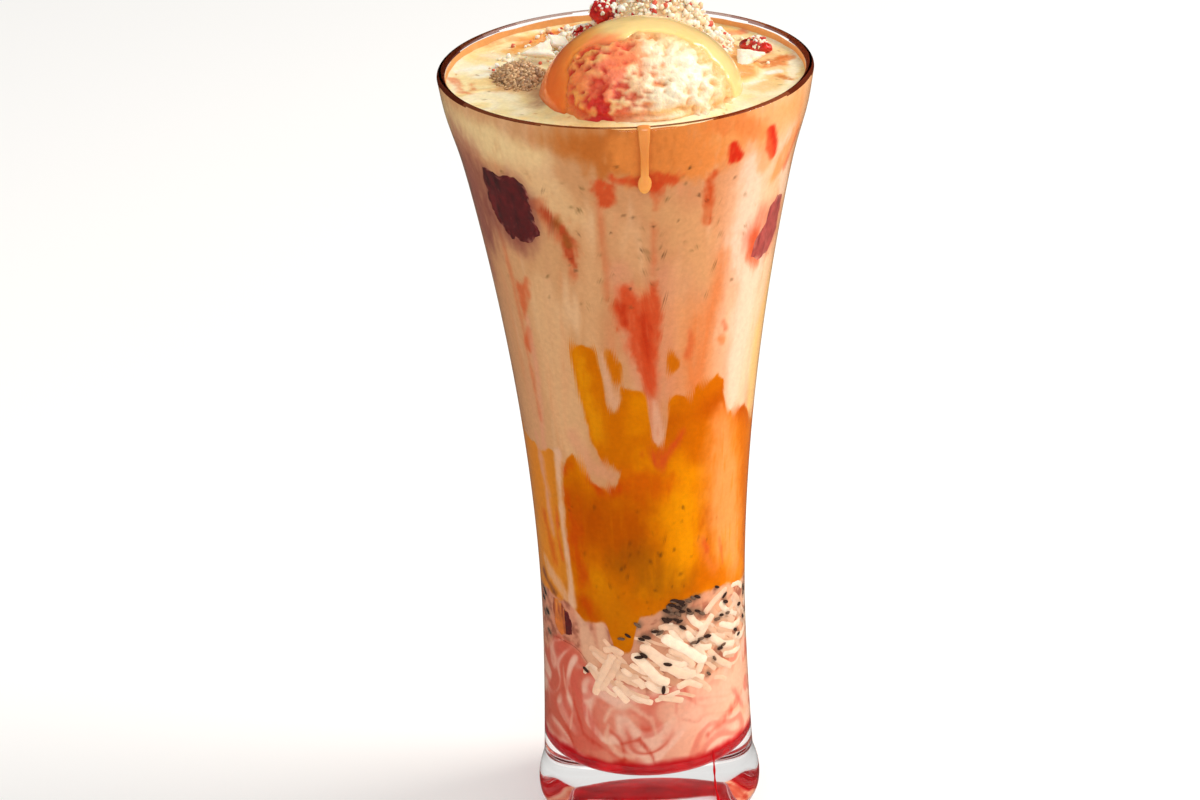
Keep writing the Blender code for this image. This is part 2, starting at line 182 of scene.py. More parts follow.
def fade(start, end, value):
    """0 at the start, 1 at the end, eased."""
    share = np.clip((value - start) / (end - start), 0, 1)
    return share * share * (3 - 2 * share)


def random_at(cell, seed):
    mixed = (cell[:, 0] * 73856093) ^ (cell[:, 1] * 19349663) ^ (cell[:, 2] * 83492791)
    mixed = (mixed ^ (seed * 9781 + 12345)) & 0x7FFFFFFF
    mixed = ((mixed ^ (mixed >> 13)) * 1274126177) & 0x7FFFFFFF
    return ((mixed ^ (mixed >> 11)) & 0xFFFF) / 32767.5 - 1


def noise(points, seed=0):
    """Smooth noise from -1 to 1 at each row of points, with one wave per unit."""
    cell = np.floor(points).astype(np.int64)
    part = points - cell
    ease = part * part * (3 - 2 * part)
    total = np.zeros(len(points))
    for corner in range(8):
        step = np.array((corner & 1, corner >> 1 & 1, corner >> 2 & 1))
        weight = np.prod(np.where(step, ease, 1 - ease), axis=1)
        total += weight * random_at(cell + step, seed)
    return total


def rough(points, seed=0, octaves=3):
    """Noise with finer noise on it."""
    total = np.zeros(len(points))
    for octave in range(octaves):
        total += noise(points * 2.03**octave, seed + octave * 17) / 1.9**octave
    return total / 1.4


def bulge(angle, middle, half_width):
    away = (angle - middle + 180) % 360 - 180
    return np.exp(-((away / half_width) ** 4))


def waved(waves, angle):
    return sum(height * bulge(angle, middle, half) for middle, half, height in waves)


def outer_radius(height):
    height = np.asarray(height, float)
    flare = np.clip(height - WAIST_HEIGHT, 0, None) / (RIM_HEIGHT - WAIST_HEIGHT)
    settle = np.clip(WAIST_HEIGHT - height, 0, None) / (WAIST_HEIGHT - INNER_BOTTOM)
    body = WAIST_RADIUS + (RIM_RADIUS - WAIST_RADIUS) * flare**FLARE_POWER
    body = body + LOWER_SWELL * settle**SWELL_POWER
    lip = np.exp(-(((height - LIP_MIDDLE) / LIP_SPREAD) ** 2))
    body = body + LIP_SWELL * (lip - flare**8 * np.exp(-(((RIM_HEIGHT - LIP_MIDDLE) / LIP_SPREAD) ** 2)))
    foot = FOOT_RADIUS - FOOT_CURVE * (height - FOOT_MIDDLE) ** 2
    blended = FOOT_BLEND * np.logaddexp(body / FOOT_BLEND, foot / FOOT_BLEND)
    body = np.where(height < FOOT_TOP, blended, body)
    low = np.clip(BASE_ROUND - height, 0, BASE_ROUND)
    return body - (BASE_ROUND - np.sqrt(BASE_ROUND**2 - low**2))


def cavity_radius(height):
    height = np.asarray(height, float)
    wall = RIM_WALL + BASE_WALL_EXTRA * (1 - height / RIM_HEIGHT) ** 1.5
    radius = outer_radius(np.maximum(height, FOOT_TOP)) - wall
    short = np.clip(INNER_CORNER - np.maximum(height - INNER_BOTTOM, 0), 0, INNER_CORNER)
    return radius - (INNER_CORNER - np.sqrt(INNER_CORNER**2 - short**2))


def milk_top(angle, share):
    return MILK_TOP + waved(MILK_WAVES, angle) * share**2


def noodles_top(angle, share):
    return NOODLES_TOP + waved(NOODLE_WAVES, angle) * share**3


def mango_top(angle, share):
    return MANGO_TOP + MANGO_CROWN * (1 - share) + waved(MANGO_WAVES, angle) * share**4


def at_wall(angle, height, reach):
    """Points this far out past the inside of the glass."""
    turn = np.radians(angle)
    radius = cavity_radius(height) + reach
    return np.stack([radius * np.sin(turn), -radius * np.cos(turn), height + 0 * turn], axis=-1)


def placed(name, data):
    """A new object in the scene."""
    obj = bpy.data.objects.new(name, data)
    bpy.context.scene.collection.objects.link(obj)
    return obj


def add_mesh(name, points, faces, material, colours=None):
    """A smooth mesh object from millimetre points. Faces is a list or array of corner numbers."""
    mesh = bpy.data.meshes.new(name)
    mesh.from_pydata((np.asarray(points) * MM).tolist(), [], [list(map(int, face)) for face in faces])
    mesh.materials.append(material)
    if colours is not None:
        layer = mesh.color_attributes.new("paint", "FLOAT_COLOR", "POINT")
        linear = np.ones((len(points), 4))
        linear[:, :3] = scene_colour(np.clip(colours, 0, 255))
        layer.data.foreach_set("color", linear.ravel())
    mesh.shade_smooth()
    mesh.validate()
    return placed(name, mesh)


def crisp(obj):
    """Keeps the shading of the sides apart from that of the ends."""
    obj.data.set_sharp_from_angle(angle=math.radians(50))
    return obj


def stands_for(obj, slot, *nodes):
    """The piece rides on the drink and replaces CAD nodes, which it hides. The slot is not used."""
    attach(obj, "root")
    if nodes:
        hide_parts(*nodes)
    return obj


def grid_faces(rows, columns):
    """Four-sided faces of a grid that closes on itself along its rows."""
    row = np.arange(rows - 1)[:, None] * columns
    column = np.arange(columns)[None, :]
    beside = (column + 1) % columns
    corners = [row + column, row + beside, row + columns + beside, row + columns + column]
    return np.stack(corners, axis=-1).reshape(-1, 4)


def closed_rings(rings):
    """Points and outward faces of a closed body from rings, with a point in the middle of each end."""
    rows = len(rings)
    columns = len(rings[0])
    points = np.concatenate([rings.reshape(-1, 3), [rings[0].mean(axis=0)], [rings[-1].mean(axis=0)]])
    faces = grid_faces(rows, columns).tolist()
    last = (rows - 1) * columns
    for column in range(columns):
        beside = (column + 1) % columns
        faces.append([rows * columns, beside, column])
        faces.append([rows * columns + 1, last + column, last + beside])
    return points, outward(points, faces)


def outward(points, faces):
    """The faces, turned round if they enclose less than nothing."""
    corners = [face[:3] for face in faces]
    corners += [(face[0], face[2], face[3]) for face in faces if len(face) == 4]
    first, second, third = np.moveaxis((points - points.mean(axis=0))[np.array(corners)], 1, 0)
    inside = np.einsum("ij,ij->i", first, np.cross(second, third)).sum()
    return faces if inside > 0 else [face[::-1] for face in faces]


def along_line(across, up, start, end):
    """How far along a straight line each point lies, as a share, and how far it is from the line."""
    dx, dy = end[0] - start[0], end[1] - start[1]
    length = dx * dx + dy * dy
    share = np.clip(((across - start[0]) * dx + (up - start[1]) * dy) / (length or 1), 0, 1)
    return share, np.hypot(across - start[0] - share * dx, up - start[1] - share * dy)


def depth_inside(across, up, corners):
    """How far each point is inside an outline of straight edges, below 0 outside it."""
    away = np.full(across.shape, FAR)
    inside = np.zeros(across.shape, bool)
    for start, end in zip(corners, corners[1:] + corners[:1]):
        away = np.minimum(away, along_line(across, up, start, end)[1])
        dx, dy = end[0] - start[0], end[1] - start[1]
        crosses = (start[1] > up) != (end[1] > up)
        inside ^= crosses & (across < start[0] + (up - start[1]) * dx / (dy if dy else 1 / FAR))
    return np.where(inside, away, -away)


class Paint:
    """Colours for the points of a surface, laid on as strokes. Across and up are in millimetres."""

    def __init__(self, across, up, points, colour):
        self.across = across
        self.up = up
        self.points = points
        self.colour = np.zeros((len(points), 3)) + colour

    def wash(self, colour, amount):
        self.colour += (np.asarray(colour, float) - self.colour) * np.asarray(amount)[:, None]

    def wander(self, grain, seed, stretch=1.0):
        """Noise that moves the edges of a stroke. A stretch under 1 draws it out upwards."""
        return rough(self.points * grain * np.array((1, 1, stretch)), seed)

    def marble(self, colour, strength, start, end, grain, seed, stretch=1.0):
        """A wash that is 0 where the noise is at the start and full where it is at the end."""
        self.wash(colour, strength * fade(start, end, self.wander(grain, seed, stretch)))

    def streak(self, colour, path, soft, ragged, strength, seed, grain=0.5):
        """A run of sauce: a path of (across, up, half width)."""
        margin = max(stop[2] for stop in path) + soft / 2 + 1.6 * ragged
        low = np.min(path, axis=0) - margin
        high = np.max(path, axis=0) + margin
        near = (self.across > low[0]) & (self.across < high[0]) & (self.up > low[1]) & (self.up < high[1])
        near = np.nonzero(near)[0]
        if len(near) == 0:
            return
        best = np.full(len(near), -FAR)
        for start, end in zip(path, path[1:] or path):
            share, away = along_line(self.across[near], self.up[near], start, end)
            best = np.maximum(best, start[2] + (end[2] - start[2]) * share - away)
        best += ragged * rough(self.points[near] * grain * np.array((1, 1, 0.5)), seed)
        dry = rough(self.points[near] * (1.3, 1.3, 0.14), seed + 7, 2)
        amount = strength * fade(-soft / 2, soft / 2, best) * (1 - 0.45 * fade(0.0, 0.9, dry))
        self.colour[near] += (np.asarray(colour, float) - self.colour[near]) * amount[:, None]


def add_node(tree, kind, inputs=(), **settings):
    """A node whose inputs are plain values or the outputs of other nodes."""
    made = tree.nodes.new(kind)
    for key, value in settings.items():
        setattr(made, key, value)
    for key, value in dict(inputs).items():
        if isinstance(value, bpy.types.NodeSocket):
            tree.links.new(value, made.inputs[key])
        else:
            made.inputs[key].default_value = value
    return made


def mixed_surface(tree, output, amount, first, second):
    """Leads a mix of two shader nodes to the surface of a material or of the world."""
    mixed = add_node(tree, "ShaderNodeMixShader", {0: amount, 1: first.outputs[0], 2: second.outputs[0]})
    tree.links.new(mixed.outputs[0], tree.nodes[output].inputs["Surface"])


class Shader:
    """A node material that starts as a Principled BSDF."""

    def __init__(self, name, **values):
        self.material = bpy.data.materials.new(name)
        self.material.use_nodes = True
        self.tree = self.material.node_tree
        self.bsdf = self.tree.nodes["Principled BSDF"]
        for socket, value in values.items():
            self.bsdf.inputs[socket.replace("_", " ")].default_value = value

    def node(self, kind, inputs=(), **settings):
        return add_node(self.tree, kind, inputs, **settings)

    def link(self, output, socket):
        self.tree.links.new(output, self.bsdf.inputs[socket])

    def noise(self, scale):
        """Noise in the object's own space. The scale is in waves per metre."""
        place = self.node("ShaderNodeTexCoord").outputs["Object"]
        inputs = {"Vector": place, "Scale": scale, "Detail": 3.0, "Roughness": 0.55}
        return self.node("ShaderNodeTexNoise", inputs).outputs["Fac"]

    def ramp(self, value, *stops):
        """A colour ramp of (place, colour of 0 to 1) stops."""
        made = self.node("ShaderNodeValToRGB", {"Fac": value})
        while len(made.color_ramp.elements) < len(stops):
            made.color_ramp.elements.new(0.5)
        for element, (place, colour) in zip(made.color_ramp.elements, stops):
            element.position = place
            element.color = (*colour, 1)
        return made.outputs["Color"]

    def paint(self):
        return self.node("ShaderNodeAttribute", attribute_name="paint").outputs["Color"]


def grained_material(name, grain, ripple=None, **values):
    """Painted food with grain (scale, darkest, lightest) and, where given, a ripple (scale, height in m)."""
    shader = Shader(name, **values)
    scale, low, high = grain
    shade = shader.ramp(shader.noise(scale), (0.3, (low,) * 3), (0.7, (high,) * 3))
    mixed = {0: 1.0, 6: shader.paint(), 7: shade}
    made = shader.node("ShaderNodeMix", mixed, data_type="RGBA", blend_type="MULTIPLY")
    shader.link(made.outputs[2], "Base Color")
    if ripple:
        inputs = {"Height": shader.noise(ripple[0]), "Distance": ripple[1], "Strength": 1.0}
        shader.link(shader.node("ShaderNodeBump", inputs).outputs["Normal"], "Normal")
    return shader.material


def skin_material():
    """Contents pressed against the glass: wet, so almost without gloss of their own."""
    return grained_material("contents_at_wall", (900.0, 0.93, 1.05), Roughness=0.6, Specular_IOR_Level=0.0)


def glass_material(name, colour, roughness):
    """Clear glass that lets lamps and bounced light straight through to what is inside."""
    shader = Shader(name)
    shader.tree.nodes.remove(shader.bsdf)
    inputs = {"Color": (*colour, 1), "Roughness": roughness, "IOR": GLASS_IOR}
    glass = shader.node("ShaderNodeBsdfGlass", inputs)
    clear = shader.node("ShaderNodeBsdfTransparent", {"Color": (0.97, 0.97, 0.97, 1)})
    light_path = shader.node("ShaderNodeLightPath")
    rays = {0: light_path.outputs["Is Shadow Ray"], 1: light_path.outputs["Is Diffuse Ray"]}
    either = shader.node("ShaderNodeMath", rays, operation="MAXIMUM")
    mixed_surface(shader.tree, "Material Output", either.outputs[0], glass, clear)
    return shader.material


def glass_profile():
    """Radius and height along the inside, over the rim, down the outside and under the foot."""
    lip = RIM_WALL / 2
    top = RIM_HEIGHT - lip
    corner = INNER_BOTTOM + INNER_CORNER * (1 - np.cos(np.radians(np.linspace(0, 90, 10))))
    inside = np.concatenate([corner, np.arange(20.5, top - 1, 2.5), [top]])
    turn = np.radians(np.linspace(0, 180, 11)[1:-1])
    middle = float(outer_radius(top)) - lip
    foot = np.concatenate([np.arange(FOOT_TOP, BASE_ROUND, -0.6), np.linspace(BASE_ROUND, 0.0, 9)])
    outside = np.concatenate([[top], np.arange(192.5, 17, -2.5), foot])
    hollow = np.linspace(PUNT_RADIUS, 1.0, 16)
    runs = (
        (cavity_radius(inside), inside),
        (middle - lip * np.cos(turn), top + lip * np.sin(turn)),
        (outer_radius(outside), outside),
        (hollow, PUNT_HEIGHT * (1 - (hollow / PUNT_RADIUS) ** 2) ** PUNT_POWER),
    )
    return np.concatenate([np.stack(run, axis=1) for run in runs])


def paint_rim_shade(obj):
    """The thin dark line of painted shade on the rim, wider and darker at the sides than in front."""
    for index, (_, shade_colour) in enumerate(RIM_PAINTED_SHADES):
        obj.data.materials.append(glass_material(f"glass_rim_painted_shade_{index + 1}", shade_colour, 0.05))
    for face in obj.data.polygons:
        x, y, height = face.center / MM
        away = abs(math.degrees(math.atan2(x, -y)))
        band = 0.24 + 0.68 * math.exp(-(((away - 95) / 42) ** 2))
        if height > RIM_HEIGHT - band:
            face.material_index = 1 + sum(away > end for end, _ in RIM_PAINTED_SHADES)


def make_glass():
    """The turned glass, with painted shade as a thin dark line on its rim."""
    profile = glass_profile()
    angle = np.radians(np.arange(GLASS_SIDES) * 360 / GLASS_SIDES)
    rings = np.zeros((len(profile), GLASS_SIDES, 3))
    rings[:, :, :2] = profile[:, None, :1] * np.stack([np.sin(angle), -np.cos(angle)], axis=1)[None]
    rings[:, :, 2] = profile[:, None, 1]
    points, faces = closed_rings(rings)
    obj = add_mesh("glass_shell", points, faces, glass_material("clear_glass", (1.0, 1.0, 1.0), 0.0))
    paint_rim_shade(obj)
    return stands_for(obj, "clear_glass", "glass")


def make_film():
    """The thin coat of cream that the drink leaves on the wall above its level."""
    angle = SPOKE_ANGLES
    top = FILM_TOP + 0.25 * rough(at_wall(angle, CREAM_LEVEL + 0 * angle, 0) * 0.12, 171)
    rings = []
    for share in np.linspace(0, 1, 7):
        rings.append(at_wall(angle, FILM_BOTTOM + (top - FILM_BOTTOM) * share, FILM_REACH))
    for share in (1.0, 0.5, 0.0):
        height = FILM_BOTTOM + (top - 0.05 - FILM_BOTTOM) * share
        rings.append(at_wall(angle, height, 0.02 - 0.12 * (1 - share)))
    points = np.concatenate(rings)
    faces = (grid_faces(len(rings) + 1, SPOKES) % len(points)).tolist()
    colours = wall_colours(points)
    film = add_mesh("cream_film", points, outward(points, faces), skin_material(), colours)
    stands_for(crisp(film), "cream")


# Colours of the cream behind the wall, by angle: its tan, with painted shade on the left and in front and
# painted light on the right
CREAM_SHADED_ROUND = (
    (-180, (232, 184, 134)),
    (-145, (226, 176, 124)),
    (-110, (220, 166, 116)),
    (-90, (212, 156, 112)),
    (-60, (222, 172, 124)),
    (-35, (222, 176, 126)),
    (-10, (220, 170, 120)),
    (15, (222, 168, 118)),
    (32, (232, 176, 126)),
    (50, (252, 226, 196)),
    (66, (255, 234, 200)),
    (85, (250, 218, 172)),
    (120, (244, 202, 150)),
    (180, (232, 184, 134)),
)

# Colours between the noodles and of the milk, by angle
BED_ROUND = (
    (-180, (238, 190, 160)),
    (-60, (222, 150, 122)),
    (-20, (226, 168, 138)),
    (30, (228, 184, 150)),
    (75, (244, 204, 172)),
    (180, (234, 186, 156)),
)
MILK_ROUND = (
    (-180, (234, 168, 142)),
    (-90, (212, 112, 92)),
    (-50, (216, 104, 84)),
    (-10, (244, 170, 146)),
    (20, (248, 196, 170)),
    (55, (252, 208, 182)),
    (100, (248, 194, 166)),
    (180, (234, 168, 142)),
)

# The mango's edge against the cream in front: (angle, height) corners
MANGO_FRONT = (
    (-45, 40), (-46, 84), (-45, 96), (-41, 103), (-36, 105), (-30, 102.5), (-26, 98.5), (-20, 97),
    (-12, 97.5), (-9.5, 101), (-13, 103), (-19, 104.5), (-24, 110), (-27, 120), (-29.5, 130),
    (-30.5, 136), (-24, 136.5), (-17, 135.5), (-15.5, 127), (-14.5, 120), (-10.5, 118.3), (-7.5, 121),
    (-7, 125.5), (-2, 124.3), (4.5, 124), (5.8, 117), (7, 110), (10, 108.3), (14, 110), (15, 121),
    (19, 122.5), (27, 121), (30, 124), (36, 124), (41, 125.5), (45, 123), (47.5, 116), (51, 113),
    (60, 113), (66, 112), (74, 108), (84, 104), (84, 40),
)
MANGO_ISLANDS = (
    ((-12, 134.5, 1.2), (-9.5, 131, 1.9), (-8.8, 127.5, 1.3)),
    ((15.8, 133.2, 1.2), (17.2, 131, 1.9), (16.4, 129.5, 1.0)),
)

# Strokes on the wall: colour, strength, softness, raggedness, path of (angle, height, half width in mm)
CREAM_STROKES = (
    ((255, 236, 178), 0.8, 5, 1.6, ((-92, 189, 4), (-70, 188.5, 4.5), (-48, 188, 4.5), (-30, 187, 2.5))),
    ((250, 222, 170), 0.6, 6, 2, ((-36, 186, 3), (-30, 178, 5), (-20, 172, 3))),
    ((255, 240, 220), 0.8, 5, 2, ((44, 182, 2), (47, 172, 4), (46, 160, 4), (50, 150, 2.5))),
    ((255, 238, 216), 0.8, 4, 1.6, ((62, 188, 2), (66, 180, 3), (74, 168, 3))),
    ((244, 206, 156), 0.35, 5, 1.5, ((-6, 172, 2), (0, 166, 4), (2, 160, 3))),
    ((244, 204, 154), 0.45, 5, 1.2, ((-16, 166, 2), (-17, 150, 3), (-19, 138, 2))),
    (CARAMEL, 0.9, 6, 2.6, ((-14, 191, 4), (-4, 189, 6.5), (8, 189, 7.5))),
    ((246, 160, 78), 0.9, 5, 2.6, ((8, 189, 8), (24, 189, 8.5), (34, 191, 4))),
    (CARAMEL_PALE, 0.7, 6, 1.5, ((36, 192, 5), (52, 190, 5.5), (66, 190, 4))),
    (ORANGE_STREAK, 0.6, 3, 2, ((28, 194, 2), (38, 192, 2.6), (46, 189, 1.6))),
    (CARAMEL, 0.5, 5, 1.2, ((-26, 192, 2), (-14, 190, 3))),
    (RED_STREAK, 0.85, 1.6, 1.6, ((-10, 182, 1.2), (-8.5, 179, 2.2), (-8, 176.5, 1.3))),
    (RED_STREAK, 0.85, 1.6, 1.8, ((-5, 182.6, 1.2), (1, 181.8, 1.4), (9, 181.6, 2.2), (14, 181.8, 1.3))),
    (RED_STREAK, 0.75, 1.5, 1.2, ((8.5, 180, 1.4), (8.7, 174, 0.6))),
    (RED_STREAK, 0.35, 2, 0.8, ((8.5, 172, 0.5), (8, 156, 0.5))),
    (RED_STREAK, 0.3, 2, 0.8, ((-11, 176, 0.5), (-10, 150, 0.6))),
    (RED_BRIGHT, 0.95, 0.9, 0.4, ((35, 187.6, 0.9), (36.5, 184.2, 1.7))),
    (RED_BRIGHT, 0.95, 0.9, 0.4, ((51, 188.2, 1.2), (53, 184, 1.8), (55.5, 181, 1.3))),
    (PEACH, 0.5, 2.5, 1, ((46, 190, 1), (52, 180, 2.5))),
    ((214, 84, 34), 0.85, 1.8, 1.8, ((29.5, 181, 0.9), (27.8, 175, 1.5), (27, 169, 1))),
    (PEACH, 0.75, 3, 2, ((72, 184, 2), (66, 178, 3.2), (60, 174, 1.8))),
    (RED_STREAK, 0.4, 2, 1.2, ((74, 182, 1), (70, 175, 1.4))),
    ((216, 106, 62), 0.6, 2.8, 2.6, ((-34, 173, 2), (-27, 168, 2.6), (-23, 163, 1.8), (-22, 156, 0.9))),
    ((190, 66, 30), 0.75, 1.6, 2, ((-32, 172, 0.8), (-25, 168, 1.7), (-24, 162, 1), (-23, 158, 0.4))),
    ((140, 104, 40), 0.5, 1.6, 1.8, ((-27, 170, 0.5), (-24, 164, 0.7))),
    (RED_STREAK, 0.6, 2.6, 1.5, ((-47, 151, 0.6), (-51, 148, 2.8), (-53, 144, 1.6), (-54, 140, 0.6))),
    (RED_STREAK, 0.6, 1.8, 1.2, ((-53, 137, 1), (-54, 134, 1.6), (-55, 131, 0.8))),
    (PINK, 0.8, 2.5, 0.8, ((-52, 140, 0.8), (-52, 126, 1.2), (-56, 108, 0.9), (-57, 100, 1.2))),
    (RED_STREAK, 0.3, 2, 0.8, ((-58, 164, 0.5), (-57, 150, 0.8), (-56, 112, 0.5))),
    ((232, 188, 132), 0.75, 6, 2, ((10, 174, 3), (20, 168, 5), (26, 160, 4.5), (30, 152, 2))),
    ((250, 206, 150), 0.6, 4, 1.2, ((17, 158, 1), (17, 148, 2), (19, 136, 1.6))),
    (PEACH, 0.35, 6, 2, ((0, 150, 3), (20, 140, 8), (26, 118, 7))),
    (PINK, 0.6, 6, 1, ((12, 156, 3), (12, 124, 4))),
    (ORANGE_STREAK, 0.6, 4.5, 1.2, ((37, 158, 1), (35, 146, 2), (30, 126, 1.6), (30, 112, 1.2))),
    (ORANGE_STREAK, 0.55, 3.5, 1, ((27, 142, 1), (25, 132, 1.4), (26, 124, 1))),
    (RED_STREAK, 0.45, 2, 1, ((25, 139, 0.5), (24, 133, 0.9))),
    (PINK, 0.7, 4, 0.8, ((-5, 158, 2), (0, 140, 3.5), (6, 118, 2.2), (9, 110, 1.6))),
    ((238, 124, 84), 0.8, 4, 2, ((-3, 152, 2), (-1, 147, 4), (2, 140, 4.2), (5, 132, 2.8), (7, 125, 1.2))),
    (RED_STREAK, 0.85, 2.6, 2.2,
     ((-3, 151, 1.5), (-2.5, 147, 2.8), (-0.5, 142, 2.6), (3, 136, 2.2), (5, 131, 1.6))),
    (RED_STREAK, 0.85, 2.2, 1.8,
     ((8, 154, 0.7), (7, 150, 1.6), (6.5, 143, 2.2), (6, 134, 2), (6.5, 124, 0.9))),
    ((196, 48, 16), 0.6, 1.6, 1.2, ((-4, 148, 0.7), (-3.5, 143, 0.5))),
    ((196, 48, 16), 0.6, 2, 1.4, ((4, 145, 0.6), (5, 138, 0.8), (5, 133, 0.5))),
    (RED_STREAK, 0.35, 3.5, 0.8, ((6, 132, 1.6), (8, 120, 1.4), (10, 112, 1))),
    (PINK_PALE, 0.85, 1.2, 0.4, ((8.5, 121, 0.9), (10, 113, 1.6), (11, 110.6, 1.9))),
    (PINK_PALE, 0.7, 1.6, 0.5, ((-14.6, 134, 0.6), (-12.5, 124, 1), (-10.5, 120.6, 1.4))),
    (CREAM_WARM, 0.6, 4, 1, ((-40, 150, 4), (-38, 125, 6), (-35, 108, 5))),
    (PINK, 0.6, 3, 0.8, ((-34, 110, 2), (-26, 103, 2.2), (-15, 100.5, 1.6))),
    (CREAM_PALE, 0.9, 5, 1.2, ((60, 156, 4), (55, 140, 5), (53, 122, 3.4), (54, 114.5, 1.8))),
    (CREAM_YELLOW, 0.9, 5, 1, ((84, 146, 3), (76, 128, 4.5), (76, 112, 4))),
    ((150, 104, 90), 0.6, 6, 1.2, ((-84, 182, 2), (-80, 172, 4), (-72, 158, 2.5))),
    (RED_STREAK, 0.4, 1.2, 0.8, ((42, 139, 0.5), (43, 137, 0.8))),
    (ORANGE_STREAK, 0.6, 1.5, 0.8, ((40, 135, 1), (42, 134, 1))),
)
MANGO_STROKES = (
    (MANGO_YELLOW, 0.7, 6, 2, ((-27, 133, 1.5), (-24, 124, 2.2), (-20, 112, 2))),
    (MANGO_DEEP, 0.7, 14, 3, ((-36, 92, 4), (-20, 84, 8), (-6, 86, 8))),
    (MANGO_BRIGHT, 0.8, 14, 3.5, ((6, 104, 2), (16, 98, 5), (22, 88, 8.5), (20, 77, 7), (10, 70, 3))),
    (MANGO_OLIVE, 0.5, 11, 3.5, ((-12, 76, 4), (-2, 78, 5), (4, 72, 6), (18, 70, 4), (28, 70, 2))),
    ((255, 178, 4), 0.8, 10, 3, ((22, 98, 2), (26, 90, 5), (27, 80, 4.5), (22, 72, 2))),
    ((216, 132, 4), 0.8, 9, 3, ((-34, 72, 3.5), (-24, 66, 5), (-14, 60, 5), (-14, 52, 3))),
    (MANGO_PEACH, 0.9, 12, 3, ((48, 108, 4), (52, 96, 8), (58, 80, 9), (66, 70, 5))),
    (PEACH, 0.7, 6, 2, ((44, 112, 3), (50, 108, 4))),
    (MANGO_RED, 0.65, 7, 2.5, ((-42, 92, 1.5), (-40, 80, 3.6), (-37, 70, 2.6))),
    (MANGO_RED, 0.6, 5, 2, ((-36, 64, 1.2), (-32, 59.5, 1.6))),
    (MANGO_RED, 0.75, 3, 1.5, ((-28, 98.5, 0.8), (-18, 95.6, 1.2), (-10, 96.8, 0.8))),
    (RED_STREAK, 0.8, 3, 1.6, ((6, 107, 1.4), (11, 105, 2.8), (16, 107, 1.6), (24, 112, 0.8))),
    (MANGO_RED, 0.45, 7, 2.5, ((-14, 100, 2), (2, 98, 4), (14, 98, 3))),
    (ORANGE_STREAK, 0.6, 4, 1.5, ((36, 80, 1.5), (40, 74, 1), (46, 70, 0.8))),
    (RED_STREAK, 0.5, 1.8, 1, ((38, 79, 0.8), (40, 77, 0.8))),
    (RED_STREAK, 0.5, 1.6, 1, ((50, 78, 0.4), (53, 71, 0.8))),
    (MANGO_RED, 0.6, 4, 1.5, ((-42, 100, 1), (-38, 102, 1))),
)
LEFT_STROKES = (
    (PINK, 0.85, 2.5, 1.2, ((-62, 106, 1), (-60, 92, 1.2), (-58, 80, 0.8))),
    (PINK_PALE, 0.9, 1.6, 0.6,
     ((-46, 104, 1.6), (-48, 96, 1.2), (-49, 84, 1), (-47, 72, 1.1), (-46, 62, 1.8))),
    (RED_STREAK, 0.5, 1.5, 1, ((-52, 88, 0.6), (-54, 80, 1), (-52, 74, 0.8))),
    (PINK_PALE, 0.7, 2.5, 1.2, ((-72, 70, 2.2), (-60, 66, 1.6), (-50, 63, 2.2))),
    ((120, 70, 56), 0.75, 2, 1.2, ((-78, 66, 0.8), (-70, 64, 1.2), (-62, 62, 0.8))),
    (MANGO_RED, 0.4, 3, 1.5, ((-66, 84, 1.5), (-60, 72, 1.5))),
)
LOW_STROKES = (
    (PINK_PALE, 0.9, 1.2, 0.5, ((-29.5, 66, 0.7), (-29, 61, 1), (-26, 56, 2), (-24, 50, 2.4))),
    (PINK_PALE, 0.8, 2.5, 1, ((-42, 60, 1.8), (-38, 54, 3), (-34, 48, 3))),
    (RED_STREAK, 0.75, 2.5, 1.2, ((-62, 48.5, 1), (-55, 49, 1.6), (-47, 48, 0.9))),
    (PINK, 0.5, 4, 1.5, ((-50, 44, 3), (-36, 42, 3.5))),
)
MILK_STROKES = (
    ((222, 100, 86), 0.7, 3.5, 1.6,
     ((-46, 37, 0.8), (-41, 35, 1.4), (-36, 31, 1.8), (-33, 27, 1.4), (-35, 24, 0.5))),
    (MILK_RED, 0.6, 1.6, 1,
     ((-52, 37, 0.4), (-48, 33.5, 0.5), (-41, 26, 0.6), (-27, 23.5, 0.5), (-10, 19.5, 0.6))),
    (MILK_PALE, 0.8, 1.6, 0.8,
     ((-26, 31.5, 0.5), (-22, 35, 0.6), (-10, 36.5, 0.6), (2, 32.5, 0.6), (5, 27.5, 0.5))),
    (MILK_RED, 0.7, 1.2, 0.7, ((-16, 25.5, 0.3), (-5, 27, 0.35), (2, 22.5, 0.5), (4, 19.5, 0.5))),
    (MILK_PALE, 0.7, 1.4, 0.7, ((-24, 30, 0.5), (-26, 26, 0.5), (-18, 22.5, 0.5), (-8, 22, 0.4))),
    (MILK_PALE, 0.6, 1.2, 0.6, ((-58, 43, 0.4), (-56, 37, 0.4), (-50, 31, 0.5), (-52, 26, 0.4))),
    ((236, 140, 116), 0.5, 4, 1.8, ((29, 36, 0.8), (21, 33, 1.6), (11, 26, 1))),
    (MILK_RED, 0.6, 2, 1.2, ((38, 25, 0.4), (50, 27.5, 0.9), (72, 31, 0.6))),
    (MILK_PALE, 0.85, 7, 2.5, ((16, 32, 3), (44, 33, 6), (66, 35, 5))),
    ((226, 96, 84), 0.5, 2.6, 1.6, ((-14, 40, 0.8), (6, 38, 1.2), (20, 39, 0.8))),
    ((226, 96, 84), 0.5, 2, 1.4, ((60, 34, 0.4), (68, 30, 0.8), (74, 26, 0.6))),
)
HAZE_STROKES = (
    ((178, 108, 92), 0.6, 8, 2, ((-62, 184, 3), (-70, 186, 3), (-78, 150, 3))),
    ((214, 110, 84), 0.55, 5, 2, ((60, 161, 6.6), (66, 159, 7))),
    (RED_STREAK, 0.7, 2.5, 1.2, ((55, 160, 1.6), (54, 155, 2.2), (60, 151.5, 1.6))),
)
BACK_ANGLES = (88, 275)


